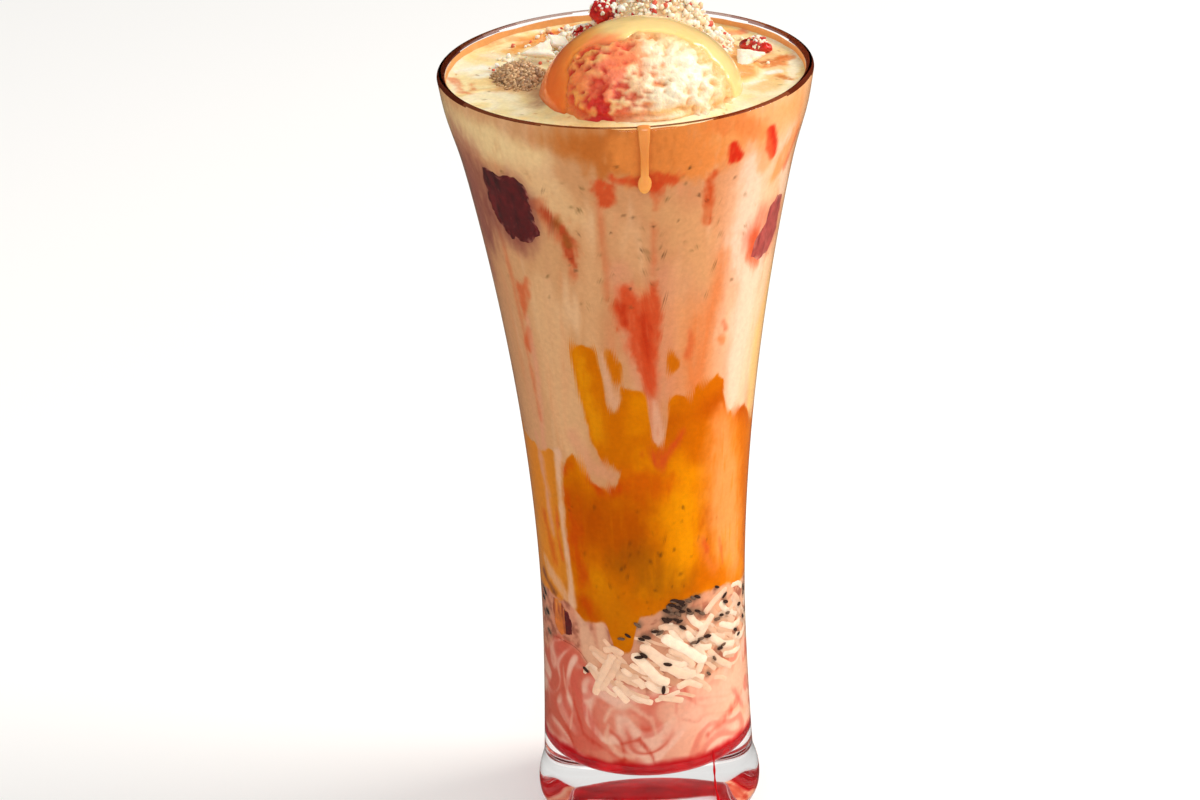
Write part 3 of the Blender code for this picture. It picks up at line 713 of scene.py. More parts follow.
def unrolled(path, scale=WALL_SCALE):
    """A path with its angles changed to millimetres across."""
    return tuple((angle * scale, height, half) for angle, height, half in path)


def lay_strokes(paint, strokes, seed, scale=WALL_SCALE, grain=0.5):
    for index, (colour, strength, soft, ragged, path) in enumerate(strokes):
        paint.streak(colour, unrolled(path, scale), soft, ragged, strength, seed + index, grain)


def back_streaks(paint, draw, colours, count, top, bottom, width):
    """Runs of sauce on the far side, of the same kind as those in front."""
    for index in range(count):
        angle = draw.uniform(*BACK_ANGLES)
        start = draw.uniform(bottom + (top - bottom) * 0.35, top)
        length = draw.uniform(0.2, 0.5) * (top - bottom)
        half = draw.uniform(0.5, 1.0) * width
        path = ((angle, start, half * 0.5), (angle + 2, start - length * 0.5, half))
        path += ((angle + draw.uniform(-3, 3), start - length, half * 0.4),)
        colour = colours[index % len(colours)]
        paint.streak(colour, unrolled(path), 3.0, 2.4, draw.uniform(0.4, 0.8), 300 + index)


def by_angle(table, angle):
    """Colours between those of a table of (angle, colour) rows."""
    places = [place for place, _ in table]
    parts = [np.interp(angle, places, [colour[part] for _, colour in table]) for part in range(3)]
    return np.stack(parts, axis=1)


def swirled(points, grain, push, push_grain, seeds):
    """Places for noise that runs in swirls, because finer noise pushes them about."""
    return points * grain + push * np.stack([rough(points * push_grain, seed, 2) for seed in seeds], axis=1)


def paint_cream(paint, angle, height, draw):
    # Cream with painted shade on the left and in front and painted light on the right
    paint.colour = by_angle(CREAM_SHADED_ROUND, angle)
    shade = fade(150, 178, height)
    paint.wash((226, 172, 118), 0.55 * shade * fade(30, 50, np.abs(angle - 20)) * fade(-40, 20, angle))
    paint.marble((238, 196, 144), 0.5, 0.0, 0.9, 0.05, 3, 0.3)
    paint.marble((208, 148, 100), 0.4, 0.0, 0.9, 0.16, 5, 0.12)
    paint.marble((255, 228, 188), 0.55, 0.1, 0.9, 0.22, 11, 0.07)
    paint.marble((236, 150, 104), 0.4, 0.3, 1.0, 0.3, 13, 0.05)
    paint.wash(PINK, 0.35 * fade(-0.1, 0.8, paint.wander(0.2, 7, 0.1)) * (1 - fade(150, 170, height)))
    lay_strokes(paint, CREAM_STROKES, 20)
    far = fade(80, 95, np.abs(angle))
    paint.wash(CARAMEL_PALE, 0.6 * far * fade(182, 192, height + 5 * paint.wander(0.12, 9)))
    back_streaks(paint, draw, (RED_STREAK, ORANGE_STREAK, PINK, CREAM_PALE), 46, 188, 112, 3.0)
    for index, (place, level) in enumerate(CREAM_SPECKS):
        paint.streak((60, 44, 26), unrolled(((place, level, 0.32),)), 0.6, 0.4, 0.6, 620 + index, 1.5)
    for index in range(90):
        place = draw.uniform(-178, 178) if index % 2 else draw.gauss(2, 26)
        path = ((place, draw.uniform(146, 183), draw.uniform(0.15, 0.45)),)
        paint.streak(SPECK, unrolled(path), 0.8, 0.45, draw.uniform(0.25, 0.7), 500 + index, 1.5)


def paint_fruit_haze(paint):
    """The mauve haze that the dark fruit leaves in the cream round it."""
    for angle, height, half, amount in ((-48, 171, 8.6, 0.75), (-69, 177, 5.0, 0.6), (-70, 166, 6.0, 0.65)):
        path = ((angle, height, half), (angle, height - 3, half))
        paint.streak(FRUIT_EDGE, unrolled(path), 8.0, 3.0, amount, 700 + int(height), 0.3)
    for seed, (colour, strength, soft, ragged, path) in zip((710, 720, 721), HAZE_STROKES):
        paint.streak(colour, unrolled(path), soft, ragged, strength, seed)


def paint_mango(paint, angle, height, draw):
    """The mango, with an uneven edge against the cream."""
    corners = [(corner[0] * WALL_SCALE, corner[1]) for corner in MANGO_FRONT]
    ragged = 0.55 * paint.wander(0.45, 31)
    front = fade(-0.35, 0.35, depth_inside(paint.across, paint.up, corners) + ragged)
    left = bulge(angle, -66, 20) * fade(0.6, -0.6, height - 103 - 3 * paint.wander(0.3, 33))
    line = mango_top(angle, 1.0) + 8.0 * paint.wander(0.14, 35) + 3.0 * paint.wander(0.4, 36)
    far = fade(78, 84, np.abs(angle)) * fade(0.5, -0.5, height - line)
    amount = np.maximum(np.maximum(front, left), far)
    mango = Paint(paint.across, paint.up, paint.points, MANGO)
    mango.marble(MANGO_BRIGHT, 0.7, 0.0, 0.8, 0.09, 37)
    mango.marble(MANGO_DEEP, 0.7, 0.0, 0.9, 0.08, 39)
    mango.wash((255, 160, 66), 0.75 * fade(70, 110, angle) * fade(200, 160, angle))
    mango.wash((240, 158, 62), 0.7 * fade(-48, -58, angle))
    lay_strokes(mango, MANGO_STROKES, 40)
    back_streaks(mango, draw, (MANGO_RED, MANGO_BRIGHT, MANGO_PEACH), 16, 118, 66, 4.0)
    for index in range(70):
        place = draw.gauss(6, 16) if index % 2 else draw.uniform(-178, 178)
        path = ((place, draw.uniform(60, 92), draw.uniform(0.15, 0.5)),)
        mango.streak((92, 54, 14), unrolled(path), 1.0, 0.5, draw.uniform(0.3, 0.7), 800 + index, 1.2)
    paint.colour += (mango.colour - paint.colour) * amount[:, None]
    for index, island in enumerate(MANGO_ISLANDS):
        paint.streak(MANGO, unrolled(island), 0.9, 0.4, 0.95, 60 + index)
    rim = np.exp(-((depth_inside(paint.across, paint.up, corners) / 0.7) ** 2)) * fade(120, 100, height)
    paint.wash(RED_STREAK, 0.3 * rim * fade(0.0, 0.7, paint.wander(0.3, 41)))
    lay_strokes(paint, LEFT_STROKES, 80)


def paint_noodle_bed(paint, angle):
    """What shows between the noodles: pale milk with shade in the gaps."""
    paint.colour = by_angle(BED_ROUND, angle)
    paint.marble(NOODLE_GAP_SHADE, 0.8, -0.1, 0.6, 0.55, 91)
    paint.marble(PINK, 0.5, 0.0, 0.8, 0.25, 93)
    lay_strokes(paint, LOW_STROKES, 95)
    for index, (place, height) in enumerate(seed_places()):
        turn = (place + CUT_ANGLE) % 360 - CUT_ANGLE
        path = ((turn - 1, height, 1.0), (turn + 1, height, 1.0))
        paint.streak(GREY, unrolled(path), 2.2, 0.6, 0.7, 97 + index)


def paint_milk(paint, angle, height, draw):
    """Milk with swirls and red threads, and syrup rising into it from below."""
    paint.colour = by_angle(MILK_ROUND, angle)
    swept = swirled(paint.points, 0.075, 1.1, 0.05, (101, 103, 105))
    paint.wash((255, 220, 202), 0.8 * fade(0.1, 0.9, np.sin(7 * rough(swept, 107, 2))))
    paint.wash((222, 104, 88), 0.5 * fade(0.4, 1.0, np.sin(8 * rough(swept * 1.1 + 9, 109, 2))))
    for shift, colour in ((4, MILK_RED), (7, (255, 222, 204))):
        thread = np.exp(-((rough(swept * 1.2 + shift, 111, 2) / 0.08) ** 2))
        paint.wash(colour, 0.6 * thread * fade(-0.2, 0.5, paint.wander(0.09, 113 + shift)))
    lay_strokes(paint, MILK_STROKES, 110)
    for index in range(10):
        place = draw.uniform(*BACK_ANGLES)
        start = draw.uniform(24, 38)
        path = ((place, start, 0.6), (place + 12, start - 4, 1.8), (place + 26, start - 1, 0.5))
        paint.streak(MILK_RED, unrolled(path), 2.5, 1.8, 0.6, 130 + index)
    paint.wash(SYRUP, 0.9 * fade(2.0, -0.4, height - SYRUP_TOP + 1.2 * paint.wander(0.2, 141)))


# Dark specks that show in the cream in front: angle, height
CREAM_SPECKS = (
    (38, 178.6), (-30, 178), (-2.5, 172.6), (1, 172), (-1, 152.6), (-22, 157), (-13, 154.6), (4, 163),
    (12, 161),
    (20, 184), (24, 176), (27.5, 174), (33, 173), (8, 169), (-7, 168), (13, 149), (-19, 167), (-24, 160),
    (17, 170), (30, 169), (-4, 186),
)

# Painted shade on everything behind the wall, by angle: how much darker and redder it is made, darkest in
# front, lightest on the right
WALL_PAINTED_SHADE = (
    (-180, (0.94, 0.86, 0.80)),
    (-90, (0.92, 0.86, 0.82)),
    (-50, (0.90, 0.85, 0.82)),
    (-15, (0.87, 0.80, 0.76)),
    (10, (0.88, 0.79, 0.75)),
    (35, (0.95, 0.83, 0.78)),
    (60, (1.0, 0.88, 0.82)),
    (100, (0.97, 0.88, 0.82)),
    (180, (0.94, 0.86, 0.80)),
)


def wall_colours(points):
    """The whole picture that the wall shows, by angle and height."""
    across = np.degrees(np.arctan2(points[:, 0], -points[:, 1]))
    height = points[:, 2]
    draw = random.Random(5)
    behind = np.where(across < -CUT_ANGLE, across + 360, across)
    cream, bed, milk = (Paint(behind * WALL_SCALE, height, points, CREAM) for _ in range(3))
    paint_cream(cream, across, height, draw)
    paint_fruit_haze(cream)
    paint_mango(cream, across, height, draw)
    paint_noodle_bed(bed, across)
    paint_milk(milk, across, height, draw)
    colour = cream.colour
    layers = (
        (noodles_top(across, 1.0) + 0.8 * cream.wander(0.5, 151), 0.6, bed.colour),
        (milk_top(across, 1.0) + 1.6 * cream.wander(0.3, 153), 1.5, milk.colour),
    )
    for line, soft, below in layers:
        amount = fade(soft, -soft, height - line)[:, None]
        colour = colour * (1 - amount) + below * amount
    amount = fade(0.3, -0.3, height - SYRUP_TOP)[:, None]
    # Painted shade by angle over all but the syrup
    return colour * by_angle(WALL_PAINTED_SHADE, across) * (1 - amount) + np.array(SYRUP) * amount


def end_rings(boundary, gap, reach, shares):
    """Rings across one end of a layer, a gap off its boundary."""
    wall = at_wall(SPOKE_ANGLES, boundary(SPOKE_ANGLES, 1.0) + gap, reach)
    rings = []
    for share in shares:
        level = boundary(SPOKE_ANGLES, share) + gap
        rings.append(wall * (share, share, 0) + (0, 0, 1) * level[:, None])
    return rings


def plug(name, floor, ceiling, material, reach=SKIN_REACH, colour=None):
    """What fills the glass between two boundaries, just into the wall, as a closed painted body."""
    low = floor(SPOKE_ANGLES, 1.0) + LAYER_GAP
    high = ceiling(SPOKE_ANGLES, 1.0) - LAYER_GAP
    levels = max(3, int((high - low).max() / CELL))
    rings = end_rings(floor, LAYER_GAP, reach, END_SHARES)
    for share in np.linspace(0, 1, levels + 1):
        rings.append(at_wall(SPOKE_ANGLES, low + (high - low) * share, reach))
    rings += end_rings(ceiling, -LAYER_GAP, reach, END_SHARES[::-1])
    points, faces = closed_rings(np.array(rings))
    colours = np.zeros((len(points), 3)) + colour if colour else wall_colours(points)
    return crisp(add_mesh(name, points, faces, material, colours))


def flat(level):
    """A boundary at one height all over."""
    return lambda angle, share: level + 0 * angle


def make_layers():
    skin = skin_material()
    syrup = Shader("rose_syrup", Roughness=0.15, Specular_IOR_Level=0.3)
    reds = ((0.35, scene_colour((150, 0, 8))), (0.7, scene_colour((214, 10, 22))))
    syrup.link(syrup.ramp(syrup.noise(120.0), *reds), "Base Color")
    made = plug("syrup_layer", flat(INNER_BOTTOM - 0.16), flat(SYRUP_TOP), syrup.material, 0.1, SYRUP)
    stands_for(made, "rose_syrup", "rose_syrup")
    stands_for(plug("milk_layer", flat(SYRUP_TOP), milk_top, skin), "rose_milk", "rose_milk")
    stands_for(plug("noodle_bed", milk_top, noodles_top, skin, 0.05), "noodles", "falooda_noodles")
    stands_for(plug("mango_body", noodles_top, mango_top, skin), "mango", "mango_layer")
    stands_for(plug("cream_body", mango_top, flat(CREAM_LEVEL - 0.6), skin), "cream", "cream_layer")


def unit(rows):
    return rows / np.linalg.norm(rows, axis=1)[:, None]


def tube(path, radius):
    """Points and faces of a soft strand along a path, pressed flat towards the wall."""
    ahead = unit(np.gradient(path, axis=0))
    side = unit(np.cross(ahead, unit(path * (1, 1, 0))))
    out = np.cross(side, ahead)
    turn = np.linspace(0, 2 * math.pi, NOODLE_SIDES, endpoint=False)[None, :, None]
    share = np.linspace(-1, 1, len(path))
    width = radius * np.sqrt(np.clip(1 - np.abs(share) ** 14, 0.05, 1))
    ring = np.cos(turn) * side[:, None] + NOODLE_FLATNESS * np.sin(turn) * out[:, None]
    return closed_rings(path[:, None] + ring * width[:, None, None])


def joined(name, parts, material):
    """One mesh of many (points, faces, colour) parts."""
    points, faces, colours = [], [], []
    count = 0
    for part_points, part_faces, colour in parts:
        points.append(part_points)
        colours.append(np.zeros((len(part_points), 3)) + colour)
        faces.extend([[corner + count for corner in face] for face in part_faces])
        count += len(part_points)
    return add_mesh(name, np.concatenate(points), faces, material, np.concatenate(colours))


def ball(size, matrix, columns, rows):
    """A small ellipsoid, turned and placed by a matrix in millimetres."""
    lift = np.radians(np.linspace(-80, 80, rows))
    turn = np.linspace(0, 2 * math.pi, columns, endpoint=False)
    rings = np.stack([
        np.cos(lift)[:, None] * np.cos(turn)[None],
        np.cos(lift)[:, None] * np.sin(turn)[None],
        np.sin(lift)[:, None] + 0 * turn[None],
    ], axis=-1) * np.asarray(size)
    points, faces = closed_rings(rings)
    turned = np.array(matrix.to_3x3())
    return points @ turned.T + np.array(matrix.translation), faces


def wall_turn(angle, place, spin):
    """Lays a thing flat against the wall: its X runs round, its Y points outwards."""
    turn = Matrix.Rotation(math.radians(angle), 4, "Z") @ Matrix.Rotation(math.radians(spin), 4, "Y")
    return Matrix.Translation(place) @ turn


NOODLE_SIDES = 10
NOODLE_FLATNESS = 0.42

# Noodles that show in front: radius, then the angle and height of each place along them
FRONT_NOODLES = (
    (1.35, ((-33, 37.5), (-28, 43), (-23, 47.5), (-19, 50.5))),
    (1.25, ((-16, 49.5), (-19, 46), (-25, 42), (-29, 39.5))),
    (1.20, ((-14, 47), (-10, 44.5), (-4, 43), (-1, 41))),
    (1.55, ((-3, 53.5), (5, 50.5), (14, 46.5), (24, 43.5), (32, 43))),
    (1.45, ((-8, 51), (0, 47.5), (7, 43.5), (14, 42))),
    (1.50, ((10, 55.5), (19, 52.5), (29, 49), (39, 45.5))),
    (1.10, ((8, 57.5), (13, 58), (20, 57), (25, 53.5))),
    (1.00, ((15, 59), (17, 55.5), (23, 52))),
    (1.15, ((31, 51.5), (37, 47), (32, 43))),
    (1.20, ((40, 56), (35, 53.5), (31, 51.5))),
    (1.10, ((45, 58), (40, 56), (34, 55))),
    (1.30, ((-19, 44.5), (-10, 44), (-4, 44.5))),
    (1.20, ((-20, 41.5), (-16, 39.5), (-11, 37))),
    (1.25, ((-10, 39.5), (-3, 38), (4, 37))),
    (1.15, ((4, 37.5), (12, 38.5), (21, 39.5))),
    (1.20, ((22, 46), (30, 42.5), (37, 41))),
    (1.10, ((42, 52.5), (53, 48), (66, 46))),
    (1.15, ((50, 54.5), (63, 51), (75, 50.5))),
    (1.10, ((52, 45.5), (66, 43.5), (74, 43.5))),
    (1.15, ((40, 48.5), (49, 44), (62, 40))),
    (1.20, ((-1, 43), (6, 40.5), (14, 40))),
    (1.00, ((-26, 51), (-19, 52), (-13, 50.5))),
    (1.00, ((27, 60.5), (31, 57.5), (40, 54.5))),
    (1.05, ((63, 60), (72, 54.5), (76, 52))),
    (1.05, ((51, 60.5), (56, 57), (72, 53))),
    (1.10, ((18, 40.5), (26, 41.5), (36, 39))),
    (1.30, ((2, 52), (11, 48.5), (20, 46.5), (28, 47))),
    (1.15, ((-10, 48), (-2, 45.5), (4, 45))),
    (1.10, ((24, 56), (34, 50), (44, 49))),
    (1.10, ((48, 57), (60, 56), (70, 58))),
    (1.05, ((38, 59), (46, 61.5), (58, 63))),
    (1.05, ((62, 63), (72, 62), (80, 59))),
    (1.10, ((14, 51.5), (24, 49), (30, 45))),
    (1.10, ((66, 48), (76, 46), (86, 47))),
    (1.00, ((-40, 43), (-36, 46), (-30, 45))),
    (1.05, ((56, 41.5), (66, 40.5), (76, 42))),
)


def noodle_strand(stops, radius, sink):
    """A flattened noodle along a smooth path of (angle, height) stops."""
    stops = np.asarray(stops, float)
    share = np.linspace(0, 1, 20)
    knots = np.linspace(0, 1, len(stops))
    path = np.stack([np.interp(share, knots, stops[:, part]) for part in range(2)], axis=1)
    for _ in range(4):
        path[1:-1] = (path[:-2] + 2 * path[1:-1] + path[2:]) / 4
    return tube(at_wall(path[:, 0], path[:, 1], -0.05 - sink), radius)


def noodle_colour(draw, points, shade=0.0):
    """Pale starch, pinker low down where the milk stains it and grey beside the seeds."""
    colour = np.zeros((len(points), 3)) + NOODLE - (shade + draw.uniform(0, 1)) * np.array((30, 46, 50))
    low = fade(46, 37, points[:, 2])[:, None]
    colour += (np.array(PINK_PALE) - colour) * (0.6 * low + 0.5 * draw.random() ** 2 * (1 - low))
    across = np.degrees(np.arctan2(points[:, 0], -points[:, 1]))
    for angle, height in FRONT_SEEDS:
        away = np.hypot((across - angle) * 0.42, points[:, 2] - height)
        colour += (np.array(GREY) - colour) * 0.4 * np.exp(-((away / 1.0) ** 2))[:, None]
    return colour


def painted_noodle(draw, stops, radius, sink, shade=0.0):
    points, faces = noodle_strand(stops, radius, sink)
    return points, faces, noodle_colour(draw, points, shade)


def deep_noodles(draw):
    """Darker noodles in front, behind those that are listed."""
    strands = []
    for _ in range(70):
        start = draw.uniform(-38, 74)
        top = float(noodles_top(start + 4, 1.0)) - 1.6
        bottom = float(milk_top(start + 4, 1.0)) - 2.5
        high = draw.uniform(bottom, top)
        run = draw.uniform(10, 20)
        low = max(high - 0.32 * run - draw.uniform(-3, 3), bottom - 2)
        middle = (low + high) / 2 + draw.uniform(-1, 1)
        stops = ((start, high), (start + run / 2, middle), (start + run, low))
        # Painted shade: these noodles lie behind the others, so they are painted darker.
        strands.append(painted_noodle(draw, stops, draw.uniform(1.0, 1.4), draw.uniform(0.22, 0.34), 0.7))
    return strands


def back_noodles(draw):
    """Noodles on the far side, where there is room between milk and mango."""
    strands = []
    for _ in range(130):
        start = draw.uniform(80, 256)
        run = draw.uniform(10, 22)
        bottom = float(max(milk_top(start, 1.0), milk_top(start + run, 1.0))) - 1.0
        top = float(min(noodles_top(start, 1.0), noodles_top(start + run, 1.0))) - 1.2
        if top - bottom < 2:
            continue
        low = draw.uniform(bottom, top)
        high = min(max(low + draw.uniform(-8, 8), bottom), top)
        middle = (low + high) / 2 + draw.uniform(-1.5, 1.5)
        stops = ((start, low), (start + run / 2, middle), (start + run, high))
        strands.append(painted_noodle(draw, stops, draw.uniform(1.0, 1.4), draw.uniform(0, 0.3)))
    return strands


def make_noodles():
    draw = random.Random(21)
    strands = deep_noodles(draw)
    for radius, stops in FRONT_NOODLES:
        strands.append(painted_noodle(draw, stops, radius, draw.uniform(0, 0.2)))
    strands += back_noodles(draw)
    starch = grained_material("noodle_starch", (600.0, 0.98, 1.14), Roughness=0.5, Specular_IOR_Level=0.1,
                              Subsurface_Weight=0.15, Subsurface_Scale=0.001,
                              Subsurface_Radius=(1.0, 0.6, 0.4))
    stands_for(joined("noodle_strands", strands, starch), "noodles")


# Seeds that show in front: angle, height
FRONT_SEEDS = (
    (-14, 55), (-10, 56), (-4, 59), (-2, 55), (1, 55.5), (6, 57), (9, 56.5), (16, 61.5), (20, 61),
    (23, 63.5),
    (27, 64), (30, 64.5), (33, 64.5), (19, 59.5), (23, 57), (28, 60.5), (33, 60.5), (48, 65), (55, 61.5),
    (56, 59.5), (48, 56), (52, 56.5), (58, 56), (73, 55.5), (35, 52.5), (33, 52), (40, 52.5), (30, 52),
    (53, 48),
    (50, 47.5), (67, 49.5), (71, 47.5), (45, 45.5), (40, 42), (-1, 50.5), (-4, 50), (-38, 44.5), (10, 40.5),
    (13, 47.5),
)


def seed_places():
    """Angle and height of each soaked seed at the wall: listed in front, scattered behind."""
    draw = random.Random(8)
    places = list(FRONT_SEEDS)
    for _ in range(16):
        places.append((draw.uniform(12, 36), draw.uniform(58, 65)))
    for _ in range(70):
        angle = draw.uniform(80, 290)
        places.append((angle, float(noodles_top(angle, 1.0)) - abs(draw.gauss(0, 5)) - 0.6))
    return places


def make_seeds():
    draw = random.Random(9)
    dark = []
    for angle, height in seed_places():
        spin = draw.gauss(28, 26)
        middle = at_wall(np.array([float(angle)]), np.array([float(height)]), 0.36)[0]
        length = draw.uniform(0.9, 1.3)
        points, faces = ball((length, 0.42, length * 0.4), wall_turn(angle, middle, spin), 10, 7)
        dark.append((points, faces, (58, 40, 34) if draw.random() < 0.6 else (112, 86, 70)))
    husk = grained_material("basil_seed", (2500.0, 0.8, 1.15), Roughness=0.6, Specular_IOR_Level=0.0)
    stands_for(joined("basil_seeds", dark, husk), "soaked_seeds")


def outline_reach(outline, turn, height):
    """How far a piece reaches from its middle in each direction, with a ragged edge."""
    ray = np.linspace(0.2, 16, 200)
    reach = []
    for direction in turn:
        inside = depth_inside(ray * math.cos(direction), ray * math.sin(direction), list(outline)) > 0
        reach.append(ray[inside].max() if inside.any() else 0.5)
    coarse, fine, finer = (
        noise(np.stack([np.cos(turn) * grain, np.sin(turn) * grain, 0 * turn + height], axis=1), seed)
        for grain, seed in ((2, 3), (6, 5), (15, 7))
    )
    return np.array(reach) * (0.95 + 0.08 * (0.5 + 0.5 * coarse) + 0.05 * fine + 0.03 * finer)


def pressed_piece(name, node, angle, height, depth, colours, outline, material):
    """A piece squashed against the wall: flat where it touches, and rounded away behind."""
    turn = np.linspace(0, 2 * math.pi, 72, endpoint=False)
    reach = outline_reach(outline, turn, height)
    rings = [(share, 0.34 - 0.5 * share**10) for share in np.linspace(0.04, 1, 18)]
    rings += [(math.cos(low), -0.2 - depth * math.sin(low)) for low in np.radians(np.linspace(15, 85, 7))]
    body = []
    for share, out in rings:
        across = share * reach * np.cos(turn)
        up = share * reach * np.sin(turn)
        body.append(at_wall(angle + across / WALL_SCALE * 0.92, height + up, out))
    points, faces = closed_rings(np.array(body))
    paint = Paint(points[:, 0], points[:, 2], points, colours[0])
    paint.marble(colours[1], 0.85, 0.0, 0.8, 0.7, 201, 0.12)
    paint.marble(colours[2], 0.6, 0.2, 0.9, 0.35, 203, 0.6)
    near_edge = np.repeat([share if out > -0.4 else 1.0 for share, out in rings], len(turn))
    near_edge = np.concatenate([near_edge, [0, 0]])
    specks = fade(0.25, 0.6, paint.wander(1.3, 205) + 0.5 * fade(0.8, 1.0, near_edge))
    paint.wash((196, 140, 110), 0.75 * specks * fade(0.7, 0.95, near_edge))
    paint.marble((176, 96, 76), 0.3, 0.5, 0.85, 1.5, 207)
    stands_for(add_mesh(name, points, faces, material, paint.colour), "dark_fruit", node)


# Dark fruit at the wall: piece, node, angle, height, depth, its colours, outline round its middle
DEEP_RED = ((80, 4, 6), (46, 0, 2), (120, 20, 20))
SOFT_RED = ((176, 70, 62), (132, 44, 44), (220, 138, 116))
DULL_ORANGE = ((200, 104, 34), (120, 40, 24), (226, 138, 54))
FRUIT_PIECES = (
    ("fruit_left_piece", "fruit_left", -48, 171.0, 5.0, DEEP_RED,
     ((-8.2, 6.5), (-7.0, 9.6), (4.5, 10.2), (7.6, 8.2), (8.2, -2), (9.0, -6), (5, -9.4), (-2, -9.8),
      (-6.5, -6), (-8.6, -1))),
    ("fruit_right_piece", "fruit_right", 64, 159.8, 4.5, SOFT_RED,
     ((-7.5, -6), (-6.5, -1.5), (-2, 2), (-1, 6.5), (3, 8.4), (7.6, 7), (8.2, -3), (4, -7.6), (-3, -8.6))),
    ("fruit_low_piece", "fruit_low", -59, 56.0, 3.0, DULL_ORANGE,
     ((-5.8, 1.5), (-4.4, 5.0), (0, 5.6), (4.6, 3.4), (6.2, 0), (5.0, -3.6), (0, -5.0), (-4, -3.4))),
    ("fruit_low_end", "fruit_low", -51.5, 55.5, 2.0, DEEP_RED,
     ((-2.6, 1.5), (-2.2, 4.4), (0.6, 3.6), (2.8, 0.4), (2.0, -3.0), (-1.4, -3.6))),
)


def make_fruit():
    flesh = grained_material("dark_fruit", (500.0, 0.75, 1.2), Roughness=0.4, Specular_IOR_Level=0.2)
    for piece in FRUIT_PIECES:
        pressed_piece(*piece, flesh)


# Strokes on top of the cream, in plan: colour, strength, softness, raggedness, path of (x, y, half width)
TOP_STROKES = (
    ((255, 248, 234), 0.8, 3, 1.6, ((-40, 9, 1), (-34, 11, 1.8), (-29, 8, 1))),
    ((255, 248, 234), 0.7, 3, 1.4, ((-36, 4, 1), (-29, 6, 1.6), (-26, 8, 0.8))),
    ((255, 244, 226), 0.6, 4, 2, ((-34, 20, 2), (-28, 17, 2.4))),
    ((240, 150, 90), 0.6, 2.4, 1.8, ((-34, 27, 0.9), (-30, 31, 1.6), (-25, 31, 1.2))),
    ((238, 134, 40), 0.75, 5, 2.5, ((-27, 20, 1.5), (-23, 28, 3.4), (-16, 33, 3), (-8, 34, 2))),
    ((232, 110, 40), 0.6, 2.4, 1.8, ((-18, 35, 1), (-12, 38, 1.4))),
    ((232, 136, 92), 0.7, 1.6, 1.4, ((-41, 3, 0.6), (-39.5, -4, 0.8), (-37, -9, 0.5))),
    ((220, 120, 70), 0.6, 1.6, 1.5, ((-38, 6, 0.3), (-36, -6, 0.4))),
    # The next stroke is painted shadow on the cream between the seed clump and the scoop.
    ((178, 120, 84), 0.7, 6, 1.5, ((-26, -5, 2), (-21, -9, 3), (-19, -18, 2))),
    ((196, 140, 92), 0.6, 6, 2, ((-29, -5, 2.5), (-27, 8, 3.5), (-24, 12, 2))),
    ((250, 196, 130), 0.7, 3, 1.2, ((30, 14, 5), (36, 6, 4), (36, -6, 3), (30, -14, 2.5))),
    ((255, 240, 210), 0.85, 2, 1.2, ((40.5, 14, 1.2), (40.5, 4, 1.8), (38, -8, 1.2))),
    ((255, 248, 238), 0.9, 1.2, 0.6, ((34, -1, 1.2), (36.5, 0, 1.4))),
    ((255, 246, 230), 0.85, 0.9, 0.4, ((27.5, -9.5, 0.5), (33, -5.5, 0.5))),
    ((168, 84, 26), 0.85, 1, 1.2, ((32.5, 6, 0.5), (36, 8, 0.9), (38.5, 11, 0.4))),
    ((206, 110, 44), 0.7, 1.6, 1.4, ((36, -3, 0.6), (39, -6, 0.8))),
    ((232, 128, 62), 0.8, 2.4, 1.8, ((33, 4, 1), (37, 6, 2.2), (39, 10, 1.6))),
    ((255, 236, 200), 0.7, 3, 1.2, ((27, -14, 2), (31, -16, 1.6))),
    ((236, 96, 60), 0.6, 2, 1.5, ((22, 30, 1), (29, 30, 1.2))),
    ((222, 92, 50), 0.6, 1.5, 1.6, ((-6, 33, 1.2), (0, 36, 1.4), (8, 36, 1))),
    ((250, 190, 110), 0.6, 5, 2, ((12, 36, 3), (26, 32, 3))),
)

# The pool of sauce on the right, in plan
POOL_COLOUR = (246, 168, 92)
POOL = ((13, 24), (20, 23.5), (27, 20), (31.5, 12), (32, 4), (31, -5), (27, -8), (22, -6), (14, 0))


def paint_cream_top(plan, band, pool):
    paint = Paint(plan[:, 0], plan[:, 1], plan, (254, 228, 170))
    paint.wash((255, 240, 208), 0.7 * fade(0.2, 1.0, band))
    paint.wash((248, 196, 122), 0.4 * fade(0.3, 1.0, -band))
    paint.marble((250, 206, 130), 0.5, 0.0, 0.8, 0.09, 313)
    paint.wash(POOL_COLOUR, 0.9 * pool)
    lay_strokes(paint, TOP_STROKES, 320, 1, 0.4)
    draw = random.Random(12)
    for index in range(90):
        turn = draw.uniform(0, 2 * math.pi)
        out = draw.uniform(26, 41.5)
        path = ((out * math.cos(turn), out * math.sin(turn), draw.uniform(0.1, 0.4)),)
        colour = (200, 110, 50) if index % 3 else (110, 84, 52)
        paint.streak(colour, path, 0.5, 0.3, draw.uniform(0.4, 0.8), 350 + index, 1.4)
    return paint.colour


